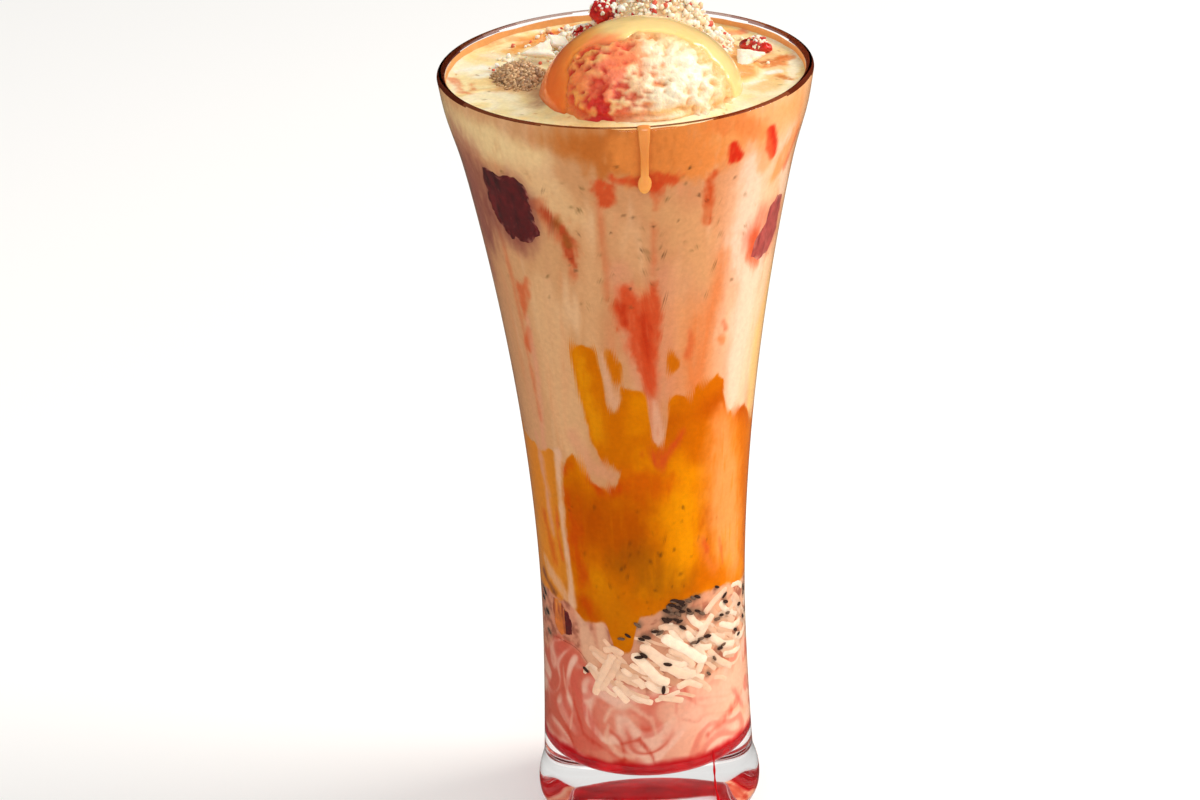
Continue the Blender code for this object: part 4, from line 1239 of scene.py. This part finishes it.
def make_cream_top():
    """The wet surface of the cream, with swirls, sauce and the raised edges where things stand in it."""
    share = np.concatenate([np.linspace(0.02, 0.9, 66), np.linspace(0.9, 1, 26)[1:]])
    angle = np.radians(np.arange(SPOKES) * 360 / SPOKES)
    edge = float(cavity_radius(CREAM_LEVEL)) + 0.06
    x = (edge * share[:, None] * np.sin(angle)[None]).ravel()
    y = (-edge * share[:, None] * np.cos(angle)[None]).ravel()
    plan = np.stack([x, y, 0 * x], axis=1)
    band = np.sin(rough(swirled(plan, 0.06, 0.8, 0.06, (301, 303, 305)), 307, 1) * 10)
    pool = fade(-0.9, 0.9, depth_inside(x, y, list(POOL)) + 0.6 * rough(plan * 0.2, 311))
    from_scoop = np.hypot(x - SCOOP_MIDDLE[0], y - SCOOP_MIDDLE[1]) - SCOOP_FOOT
    height = CREAM_LEVEL + 0.22 * rough(plan * 0.12, 309) + 0.15 * band * rough(plan * 0.3, 310)
    height += 0.7 * pool + 0.8 * np.exp(-np.clip(from_scoop, 0, None) / 1.4)
    height += 0.55 * np.exp((np.hypot(x, y) - edge) / 0.8)
    rings = np.stack([x, y, height], axis=1).reshape(len(share), SPOKES, 3)
    side_bottom = CREAM_LEVEL - 0.9
    shrink = (float(cavity_radius(side_bottom)) - 0.3) / edge
    low = rings[-1] * (shrink, shrink, 0) + (0, 0, side_bottom)
    body, faces = closed_rings(np.concatenate([rings, low[None]]))
    colour = paint_cream_top(plan, band, pool)
    colours = np.concatenate([colour, colour[-SPOKES:], colour[:1], colour[:1]])
    wet = grained_material("cream_surface", (1200.0, 0.92, 1.05), (1200.0, 0.00006), Roughness=0.22,
                           Subsurface_Weight=0.25, Subsurface_Scale=0.002,
                           Subsurface_Radius=(1.0, 0.55, 0.3), Coat_Weight=0.3, Coat_Roughness=0.06)
    stands_for(crisp(add_mesh("cream_surface", body, faces, wet, colours)), "cream", "cream_layer")


def scoop_masks(away):
    """How far inside the bare front each point is in mm, how bare it is, and how much glaze is on it."""
    place = away * SCOOP_SIZE
    wander = 2.6 * rough(away * 3.6, 401)
    edge = np.minimum(-7.2 - place[:, 1], place[:, 0] + 17.0) + wander
    edge = np.minimum(edge, (21.0 - place[:, 0] - 0.12 * place[:, 2]) * 0.8 + wander)
    return edge, fade(-1.5, 2.5, edge), fade(0.4, -1.4, edge)


def ridged(points, seed):
    """Noise with sharp ridges, up to 1."""
    return 1 - 2 * np.abs(rough(points, seed, 2))


def on_scoop(place, rise):
    """Points of the scoop's plain form, raised, and cut off level inside the cream."""
    points = SCOOP_MIDDLE + place * (1 + rise[:, None] / SCOOP_SIZE[0])
    points[:, 2] = np.maximum(points[:, 2], SCOOP_BOTTOM)
    return points


# Stains on the scoop: colour, strength, place from its middle, reach, raggedness. The first few are wet
# and the rest lie in the crevices
WET_STAINS = 5
SCOOP_STAINS = (
    ((255, 122, 88), 0.8, (-5.5, -14, 13.5), 4.4, 2.6),
    ((255, 132, 92), 0.7, (-8, -17, 10.5), 3.6, 2.4),
    ((255, 138, 80), 0.6, (-3, -13, 16), 4, 2),
    ((220, 36, 28), 0.9, (-10.4, -19.5, 7.2), 1.9, 2.2),
    ((214, 26, 26), 0.95, (-9.6, -21, 3.8), 2.3, 2),
    ((222, 40, 24), 0.85, (-12, -15.5, 12), 3.2, 2.6),
    ((222, 56, 36), 0.8, (-8.5, -18, 10.5), 2.4, 2),
    ((232, 70, 36), 0.75, (-13.8, -12.5, 12.5), 2.6, 2.2),
    ((226, 60, 30), 0.75, (-16.4, -13, 9.5), 2.2, 2),
    ((226, 60, 30), 0.7, (-17.2, -12.6, 6.5), 1.6, 1.6),
    ((236, 110, 60), 0.6, (-12.5, -16.5, 9), 3.5, 2.4),
    ((240, 120, 74), 0.6, (2, -16.5, 14), 3.2, 2.4),
    ((236, 120, 70), 0.6, (-3.5, -19, 10), 3.2, 2.4),
    ((240, 130, 80), 0.55, (6, -15, 14.8), 2.2, 2),
    ((244, 150, 90), 0.5, (0, -20.5, 8.5), 2.6, 2),
)


def paint_scoop(place, relief, folds, low, edge, bare):
    """Pale ridges with painted highlight on the right, orange crevices and red stains."""
    x, _, z = place.T
    paint = Paint(x, z, place, (252, 202, 138))
    paint.wash((232, 142, 68), 0.95 * fade(0.4, -0.9, relief))
    # Painted highlight: the ridges are paler towards the right, where the light falls.
    paint.wash((255, 240, 210), 0.95 * fade(0.2, 1.2, relief) * fade(-10, 6, x))
    paint.wash((248, 178, 100), 0.85 * fade(-3, -14, x))
    paint.wash((250, 200, 120), 0.7 * low * fade(0.2, -0.6, folds))
    paint.wash((248, 186, 112), 0.85 * fade(6.0, 0.5, edge))
    paint.wash((242, 152, 66), 0.8 * fade(7.0, 1.0, edge) * fade(-7, -13, x))
    crevice = fade(1.0, 0.1, relief)
    for index, (colour, strength, middle, reach, ragged) in enumerate(SCOOP_STAINS):
        distance = np.linalg.norm(place - middle, axis=1) + 1.5 * ragged * paint.wander(0.55, 420 + index)
        depth = 1.0 if index < WET_STAINS else 0.25 + 0.75 * crevice
        paint.wash(colour, strength * depth * fade(reach * 1.25, reach * 0.85, distance))
    red = fade(6, -10, x) * fade(0, 9, z) * bare
    deep = fade(1.2, 0.6, relief)
    paint.wash((212, 32, 18), 0.95 * red * deep * fade(-0.6, -0.1, paint.wander(0.22, 441)))
    paint.wash((240, 124, 70), 0.45 * bare * crevice * fade(0.0, 0.6, paint.wander(0.25, 443)))
    return paint.colour


def make_scoop():
    away, faces = ball_faces(6)
    place = away * SCOOP_SIZE
    edge, bare, glazed = scoop_masks(away)
    low = fade(9.0, 4.0, place[:, 2]) * fade(16, 8, place[:, 0])
    folds = 0.55 * np.sin(place[:, 2] * 2.1 + 3.0 * rough(away * 2.4, 403))
    crag = 0.5 * ridged(away * 4.2, 405) + ridged(away * 9.0, 407) + ridged(away * 16.0, 409)
    relief = bare * (crag * (1 - 0.75 * low) + folds * low) + (1 - bare) * 0.1 * rough(away * 3, 411)
    lumps = 0.35 * rough(away * 1.7, 413)
    points = on_scoop(place, relief - 0.5 + lumps)
    colours = paint_scoop(place, relief, folds, low, edge, bare)
    ice = grained_material("ice_cream", (1100.0, 0.9, 1.06), (1100.0, 0.0004), Roughness=0.34,
                           Subsurface_Weight=0.25, Subsurface_Scale=0.0009,
                           Subsurface_Radius=(1.0, 0.55, 0.3), Coat_Weight=0.2, Coat_Roughness=0.06)
    stands_for(add_mesh("ice_cream", points, faces, ice, colours), "ice_cream", "ice_cream_scoop")
    make_glaze(away, faces, glazed, lumps)


def make_glaze(away, faces, glazed, lumps):
    """The caramel that covers the scoop's back, top and sides."""
    place = away * SCOOP_SIZE
    x, _, z = place.T
    thick = 0.35 * glazed - 1.6 * (1 - fade(0.0, 0.3, glazed))
    points = on_scoop(place, thick + lumps + 0.1 * rough(away * 4, 451))
    paint = Paint(x, z, place, (252, 214, 142))
    paint.marble((248, 194, 114), 0.6, 0.0, 0.7, 0.09, 452)
    paint.wash((246, 146, 56), 0.9 * fade(-6, -15, x + 2 * paint.wander(0.15, 453)))
    paint.wash((236, 104, 34), 0.8 * fade(-14, -20, x + 2 * paint.wander(0.2, 454)))
    paint.wash((252, 214, 144), 0.9 * fade(8, 19, x))
    stain = np.linalg.norm(place - (-9, -9, 16), axis=1) + 2.4 * paint.wander(0.3, 455)
    paint.wash((255, 128, 78), 0.85 * fade(7.5, 3, stain))
    paint.wash((204, 84, 24), 0.7 * fade(5.5, 2.2, z + paint.wander(0.3, 456)) * fade(-12, -20, x))
    glaze = grained_material("caramel_glaze", (260.0, 0.95, 1.04), (180.0, 0.00025), Roughness=0.2,
                             Subsurface_Weight=0.3, Subsurface_Scale=0.002,
                             Subsurface_Radius=(1.0, 0.5, 0.2), Coat_Weight=0.6, Coat_Roughness=0.1)
    stands_for(add_mesh("caramel_glaze", points, faces, glaze, paint.colour), "ice_cream", "ice_cream_scoop")
    make_caramel_drip(glaze)
    make_syrup_drip()


# The caramel drip: radius and height of each place over the rim, and colours by height
OVER_RIM = ((41.6, 193.4), (42.6, 195.0), (43.3, 195.9), (44.0, 196.1), (44.75, 195.8))
DROP_HEIGHT = 181.2
DRIP_COLOURS = ((176, (242, 160, 78)), (183, (240, 158, 78)), (187, (222, 134, 60)), (196, (228, 144, 72)))


def on_outside(height, half):
    return float(outer_radius(height)), float(height), float(half)


def make_caramel_drip(material):
    """The caramel that ran over the rim and down the outside in front, to a round drop."""
    path = [(out, height, 1.5) for out, height in OVER_RIM]
    drop = DROP_HEIGHT + 2.5 * np.cos(np.linspace(0.3, 2.9, 14))
    for height in np.concatenate([np.linspace(195.0, 184, 14), drop]):
        neck = 1.35 - 0.4 * fade(195, 188, height)
        round_end = 1.6 * math.sqrt(max(1 - ((height - DROP_HEIGHT) / 2.6) ** 2, 0.002))
        path.append(on_outside(height, max(neck, round_end) if height > DROP_HEIGHT else round_end))
    points, faces = run_down(path, 4.9)
    colours = by_angle(DRIP_COLOURS, points[:, 2])
    stands_for(add_mesh("caramel_drip", points, faces, material, colours), "ice_cream")


def make_syrup_drip():
    """A thin run of syrup low on the outside."""
    path = []
    for height in np.linspace(21.5, 6.5, 40):
        path.append(on_outside(height, 0.3 + 0.1 * math.sin(height * 1.7) + 0.25 * fade(8.5, 7.2, height)))
    points, faces = run_down(path, 38)
    syrup = Shader("syrup_drip", Roughness=0.15)
    syrup.link(syrup.paint(), "Base Color")
    colours = np.zeros((len(points), 3)) + SYRUP
    stands_for(add_mesh("syrup_drip", points, faces, syrup.material, colours), "rose_syrup")


def run_down(path, angle):
    """A low rounded run on the outside of the glass along a path of (radius, height, half width)."""
    sides = np.linspace(-1, 1, 15)
    tops, backs = [], []
    for index, (out, height, half) in enumerate(path):
        along = np.subtract(path[min(index + 1, len(path) - 1)][:2], path[max(index - 1, 0)][:2])
        along /= np.linalg.norm(along)
        normal = np.array((-along[1], along[0]))
        if normal[0] < 0 and height < RIM_HEIGHT - 0.5:
            normal = -normal
        rise = 0.14 + 0.14 * half + 0.3 * fade(184, 181, height) * fade(1.0, 1.5, half)
        thick = rise * np.sqrt(np.clip(1 - sides**2, 0, 1)) - 0.05
        turn = math.radians(angle) + sides * half / out
        for store, amount in ((tops, thick), (backs, 0 * thick - 0.12)):
            reach = out + normal[0] * amount
            ring = [reach * np.sin(turn), -reach * np.cos(turn), height + normal[1] * amount]
            store.append(np.stack(ring, axis=1))
    return closed_rings(np.concatenate([np.array(tops), np.array(backs)[:, ::-1]], axis=1))


def ball_faces(subdivisions):
    """Directions and faces of a finely split ball."""
    made = bmesh.new()
    bmesh.ops.create_icosphere(made, subdivisions=subdivisions, radius=1.0)
    away = np.array([vertex.co[:] for vertex in made.verts])
    faces = np.array([[vertex.index for vertex in face.verts] for face in made.faces])
    made.free()
    return away, faces


CRUMB_AWAY, CRUMB_FACES = ball_faces(1)


def tumble(draw, size):
    """A turn by any angle about any axis."""
    return Matrix.Rotation(draw.uniform(0, 6.28), size, Vector([draw.gauss(0, 1) for _ in range(3)]))


def upward(draw, lowest):
    """A direction that points up, with at least this rise."""
    turn = draw.uniform(0, 2 * math.pi)
    lift = math.asin(draw.uniform(lowest, 1.0))
    return np.array((math.cos(turn) * math.cos(lift), math.sin(turn) * math.cos(lift), math.sin(lift)))


def crumb(draw, place, size):
    """An irregular bit of nut."""
    corners = CRUMB_AWAY * [[draw.uniform(0.72, 1.28)] for _ in CRUMB_AWAY]
    corners = corners * [draw.uniform(0.65, 1.3) for _ in range(3)]
    return corners @ np.array(tumble(draw, 3)).T * size + place, CRUMB_FACES


RED_CRUMBS = ((206, 60, 44), (226, 104, 76), (186, 34, 30))
PALE_CRUMBS = ((255, 246, 228), (255, 240, 218), (252, 234, 204), (255, 250, 238), (246, 214, 170))


def crumb_colour(draw, redness):
    return draw.choice(RED_CRUMBS if draw.random() < redness else PALE_CRUMBS)


def heap_crumbs(draw):
    """Crumbs all over the heap and its tail, redder on the left."""
    parts = []
    for middle, size, count in ((HEAP_MIDDLE, HEAP_SIZE, 1500), (TAIL_MIDDLE, TAIL_SIZE, 420)):
        for _ in range(count):
            place = middle + upward(draw, 0.02) * size * draw.uniform(0.93, 1.05)
            colour = crumb_colour(draw, 0.5 if place[0] < -1 else 0.08)
            parts.append((*crumb(draw, place, 0.35 + 0.7 * draw.random() ** 2), colour))
    return parts


def loose_places(draw):
    """Places off the heap, with the sizes and the redness of the crumbs there."""
    for _ in range(120):
        turn = draw.uniform(0.1, math.pi - 0.1)
        out = draw.uniform(24, 40)
        yield (out * math.cos(turn) * 0.9, out * math.sin(turn), CREAM_LEVEL + 0.35), (0.3, 0.65), 0.15
    for _ in range(40):
        place = (draw.gauss(-13, 4), draw.gauss(33, 3), CREAM_LEVEL + 0.5)
        if math.hypot(place[0], place[1]) < 41.5:
            yield place, (0.5, 0.9), 0.2
    for middle, size in (((-4.0, 18.5, 203.3), 3.4), ((-9.2, 19.0, 197.1), 2.9), ((31.8, 16.0, 194.2), 2.2)):
        for _ in range(90):
            away = np.array([draw.gauss(0, 1), draw.gauss(0, 1), abs(draw.gauss(0.3, 1))])
            place = np.array(middle) + away / np.linalg.norm(away) * size * (1.1, 1.0, 1.0)
            yield place, (0.3, 0.65), 0.25
    for _ in range(26):
        yield (draw.gauss(-18, 2.6), draw.gauss(17, 3.0), CREAM_LEVEL + 1.0), (0.4, 0.8), 0.1


def make_nuts():
    draw = random.Random(33)
    parts = heap_crumbs(draw)
    for place, sizes, redness in loose_places(draw):
        parts.append((*crumb(draw, place, draw.uniform(*sizes)), crumb_colour(draw, redness)))
    nut = grained_material("crushed_nuts", (1400.0, 0.86, 1.06), (2200.0, 0.0001), Roughness=0.5,
                           Subsurface_Weight=0.25, Subsurface_Scale=0.001)
    stands_for(joined("nut_crumbs", parts, nut), "crushed_nuts", "nut_heap")
    core = []
    for middle, size in ((HEAP_MIDDLE, HEAP_SIZE), (TAIL_MIDDLE, TAIL_SIZE)):
        points, faces = ball(size * 0.96, Matrix.Translation(middle), 48, 24)
        points += (0.5 * rough(points * 0.3, 461))[:, None]
        points[:, 2] = np.maximum(points[:, 2], CREAM_LEVEL - 1.8)
        core.append((points, faces, (246, 216, 176)))
    stands_for(joined("nut_core", core, nut), "crushed_nuts", "nut_heap")


def lump(middle, size, turn, seed, uneven=0.14):
    """A soft irregular lump."""
    matrix = Matrix.Translation(Vector(middle)) @ Matrix.Rotation(math.radians(turn), 4, "Z")
    points, faces = ball(size, matrix, 40, 20)
    out = unit(points - np.array(middle))
    push = uneven * rough(out * 2.2 + seed, seed) + 0.5 * uneven * rough(out * 6.0 + seed, seed + 3)
    return points + out * (min(size) * push)[:, None], faces


# Red pieces: node, middle, half sizes, turn, colour
RED_PIECES = (
    ("candied_peel_1", (-4.0, 18.5, 203.3), (4.0, 3.3, 3.4), 20, (196, 20, 20)),
    ("candied_peel_2", (-9.2, 19.0, 197.1), (2.9, 3.3, 3.1), -30, (176, 14, 18)),
    ("jelly_piece", (31.8, 16.0, 194.0), (4.3, 2.6, 1.8), -28, (204, 36, 20)),
)


def make_red_pieces():
    jelly = grained_material("red_jelly", (700.0, 0.7, 1.25), (700.0, 0.0006), Roughness=0.28,
                             Subsurface_Weight=0.35, Subsurface_Scale=0.002, Coat_Weight=0.15)
    for index, (node, middle, size, turn, colour) in enumerate(RED_PIECES):
        points, faces = lump(middle, size, turn, 470 + index, 0.3)
        paint = Paint(points[:, 0], points[:, 2], points, colour)
        paint.marble((120, 4, 10), 0.8, 0.0, 0.7, 0.35, 473 + index)
        paint.marble((232, 96, 64), 0.6, 0.2, 0.8, 0.5, 476 + index)
        obj = add_mesh(node + "_piece", points, faces, jelly, paint.colour)
        stands_for(obj, "red_jelly", node)


# The clump of soaked seeds: its middle, half sizes, turn in degrees and the colours of its seeds
CLUMP_MIDDLE = np.array((-25.0, 1.5, 193.2))
CLUMP_SIZE = np.array((5.2, 7.8, 2.9))
CLUMP_TURN = 12
CLUMP_COLOURS = ((168, 134, 104), (190, 154, 116), (212, 174, 130), (230, 190, 142), (200, 150, 106))
STRAY_COLOURS = ((190, 148, 106), (214, 172, 122), (168, 128, 92))


def make_seed_clump():
    draw = random.Random(17)
    parts = [(*lump(CLUMP_MIDDLE, CLUMP_SIZE * 0.93, CLUMP_TURN, 480), (176, 136, 100))]
    turned = np.array(Matrix.Rotation(math.radians(CLUMP_TURN), 3, "Z"))
    for _ in range(420):
        place = CLUMP_MIDDLE + turned @ (upward(draw, 0.0) * CLUMP_SIZE * draw.uniform(0.93, 1.02))
        spin = tumble(draw, 4)
        length = draw.uniform(0.45, 0.75)
        made = ball((length, length * 0.6, length * 0.6), Matrix.Translation(place) @ spin, 7, 4)
        parts.append((*made, draw.choice(CLUMP_COLOURS)))
    for _ in range(170):
        turn = draw.uniform(0, 2 * math.pi)
        reach = draw.uniform(1.0, 1.3)
        across = (math.cos(turn) * CLUMP_SIZE[0] * reach, math.sin(turn) * CLUMP_SIZE[1] * reach, 0)
        place = CLUMP_MIDDLE + turned @ np.array(across)
        place[2] = CREAM_LEVEL + 0.25
        spin = Matrix.Rotation(turn + draw.gauss(0, 0.5), 4, "Z")
        made = ball((draw.uniform(0.5, 0.9), 0.22, 0.25), Matrix.Translation(place) @ spin, 7, 4)
        parts.append((*made, draw.choice(STRAY_COLOURS)))
    wet = grained_material("soaked_seeds", (1600.0, 0.8, 1.15), Roughness=0.2, Coat_Weight=0.5)
    stands_for(joined("soaked_seed_clump", parts, wet), "soaked_seeds", "seed_clump")


# Chips: node, middle, corners, turns about x, y and z. Then (share of the outline, height) of their rings
CHIPS = (
    ("nut_chip_1", (-20.5, 13.5, 195.5), ((-4.2, 0.8), (3.4, 2.6), (3.0, -3.0)), (28, -12, 10)),
    ("nut_chip_2", (-16.0, 22.5, 194.8), ((-3.0, -1.6), (2.4, -2.6), (3.4, 1.8), (-1.2, 2.8)),
    (20, 14, 40)),
    ("nut_chip_3", (30.0, 6.5, 194.7), ((-3.4, -4.2), (3.4, -0.4), (-2.8, 4.6)), (18, -16, 0)),
)


CHIP_RINGS = ((0.1, -0.5), (0.9, -0.56), (1.0, -0.3), (1.0, 0.3), (0.9, 0.56), (0.5, 0.62), (0.1, 0.55))


def make_chips():
    """Thin pale shavings of nut with soft broken edges."""
    nut = grained_material("nut_flake", (900.0, 0.9, 1.05), (1500.0, 0.00012), Roughness=0.45,
                           Subsurface_Weight=0.3, Subsurface_Scale=0.001)
    for index, (node, middle, corners, tilt) in enumerate(CHIPS):
        outline = np.array(corners)
        dense = []
        for first, second in zip(outline, np.roll(outline, -1, axis=0)):
            for share in np.linspace(0, 1, 12, endpoint=False):
                dense.append(first + (second - first) * share)
        dense = np.column_stack([dense, np.zeros(len(dense))])
        ragged = 0.12 * rough(dense * 0.7, 490 + index) + 0.07 * rough(dense * 2.2, 493 + index)
        dense *= (1 + ragged)[:, None]
        rings = []
        for share, rise in CHIP_RINGS:
            ring = dense * share + (0, 0, rise)
            ring[:, 2] += 0.35 * rough(ring * 0.6, 495 + index)
            rings.append(ring)
        points, faces = closed_rings(np.array(rings))
        turns = [Matrix.Rotation(math.radians(degrees), 3, axis) for degrees, axis in zip(tilt, "XYZ")]
        points = points @ np.array(turns[2] @ turns[1] @ turns[0]).T + middle
        paint = Paint(points[:, 0], points[:, 1], points, (255, 246, 226))
        paint.marble((248, 214, 160), 0.6, 0.0, 0.8, 0.5, 497)
        stands_for(add_mesh(node + "_piece", points, faces, nut, paint.colour), "nut_flake", node)


def mirrored(tree):
    """1 where the outside of the glass reflects, so that the studio shows dimly there."""
    rays = add_node(tree, "ShaderNodeLightPath")
    inputs = {0: rays.outputs["Transmission Depth"], 1: 0.5}
    outside = add_node(tree, "ShaderNodeMath", inputs, operation="LESS_THAN")
    inputs = {0: rays.outputs["Is Glossy Ray"], 1: outside.outputs[0]}
    return add_node(tree, "ShaderNodeMath", inputs, operation="MULTIPLY").outputs[0]


def make_floor():
    half = 3.0
    corners = [(x * half, y * half, -0.0003) for x, y in ((-1, -1), (1, -1), (1, 1), (-1, 1))]
    mesh = bpy.data.meshes.new("floor")
    mesh.from_pydata(corners, [], [(0, 1, 2, 3)])
    shader = Shader("floor", Roughness=0.7, Specular_IOR_Level=0.2, Base_Color=(0.95, 0.95, 0.95, 1))
    dim = shader.node("ShaderNodeBsdfDiffuse", {"Color": (0.08, 0.07, 0.065, 1)})
    mixed_surface(shader.tree, "Material Output", mirrored(shader.tree), shader.bsdf, dim)
    mesh.materials.append(shader.material)
    obj = placed("floor", mesh)


def add_light(name, place, target, size, power, colour):
    lamp = bpy.data.lights.new(name, "AREA")
    lamp.shape = "RECTANGLE"
    lamp.size = lamp.size_y = size
    lamp.energy = power
    lamp.color = colour
    obj = placed(name, lamp)
    obj.location = place
    obj.rotation_euler = (Vector(target) - Vector(place)).to_track_quat("-Z", "Y").to_euler()


def make_lights():
    world = bpy.data.worlds.new("studio")
    world.use_nodes = True
    tree = world.node_tree
    plain = tree.nodes["Background"]
    plain.inputs["Color"].default_value = (1.0, 0.99, 0.97, 1)
    plain.inputs["Strength"].default_value = 0.80
    dim = add_node(tree, "ShaderNodeBackground", {"Color": (0.42, 0.36, 0.34, 1), "Strength": 0.12})
    mixed_surface(tree, "World Output", mirrored(tree), plain, dim)
    bpy.context.scene.world = world
    middle = (0.0, 0.0, 0.12)
    add_light("key", (0.75, 0.10, 0.85), middle, 0.5, 8.0, (1.0, 0.95, 0.88))
    add_light("front", (0.25, -1.1, 0.6), middle, 0.7, 3.0, (1.0, 0.98, 0.95))


def make_camera():
    """The camera that was fitted to the rim and to both edges of the glass."""
    raised = math.radians(24.443)
    distance = 0.9419
    focal_pixels = 3800
    turned_right = math.atan2(36.6, focal_pixels)
    turned_down = math.atan2(41.59, focal_pixels)
    rolled = math.radians(1.97)
    ahead = Vector((0, math.cos(raised), -math.sin(raised)))
    place = Vector((0, 0, 0.098)) - ahead * distance
    right = Vector((1, 0, 0))
    up = right.cross(ahead)
    yaw = Matrix.Rotation(turned_right, 3, up)
    ahead = yaw @ ahead
    right = yaw @ right
    pitch = Matrix.Rotation(turned_down, 3, right)
    ahead = pitch @ ahead
    roll = Matrix.Rotation(rolled, 3, ahead)
    right = roll @ right
    up = roll @ (pitch @ up)
    data = bpy.data.cameras.new("camera")
    data.sensor_width = 36
    data.lens = 114
    data.clip_start = 0.01
    camera = placed("camera", data)
    camera.matrix_world = Matrix.Translation(place) @ Matrix((right, up, -ahead)).transposed().to_4x4()
    bpy.context.scene.camera = camera


def main():
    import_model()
    bpy.context.scene.view_settings.view_transform = "Standard"
    make_camera()
    make_lights()
    make_floor()
    make_glass()
    make_film()
    make_layers()
    make_noodles()
    make_seeds()
    make_fruit()
    make_cream_top()
    make_scoop()
    make_nuts()
    make_red_pieces()
    make_seed_clump()
    make_chips()


main()
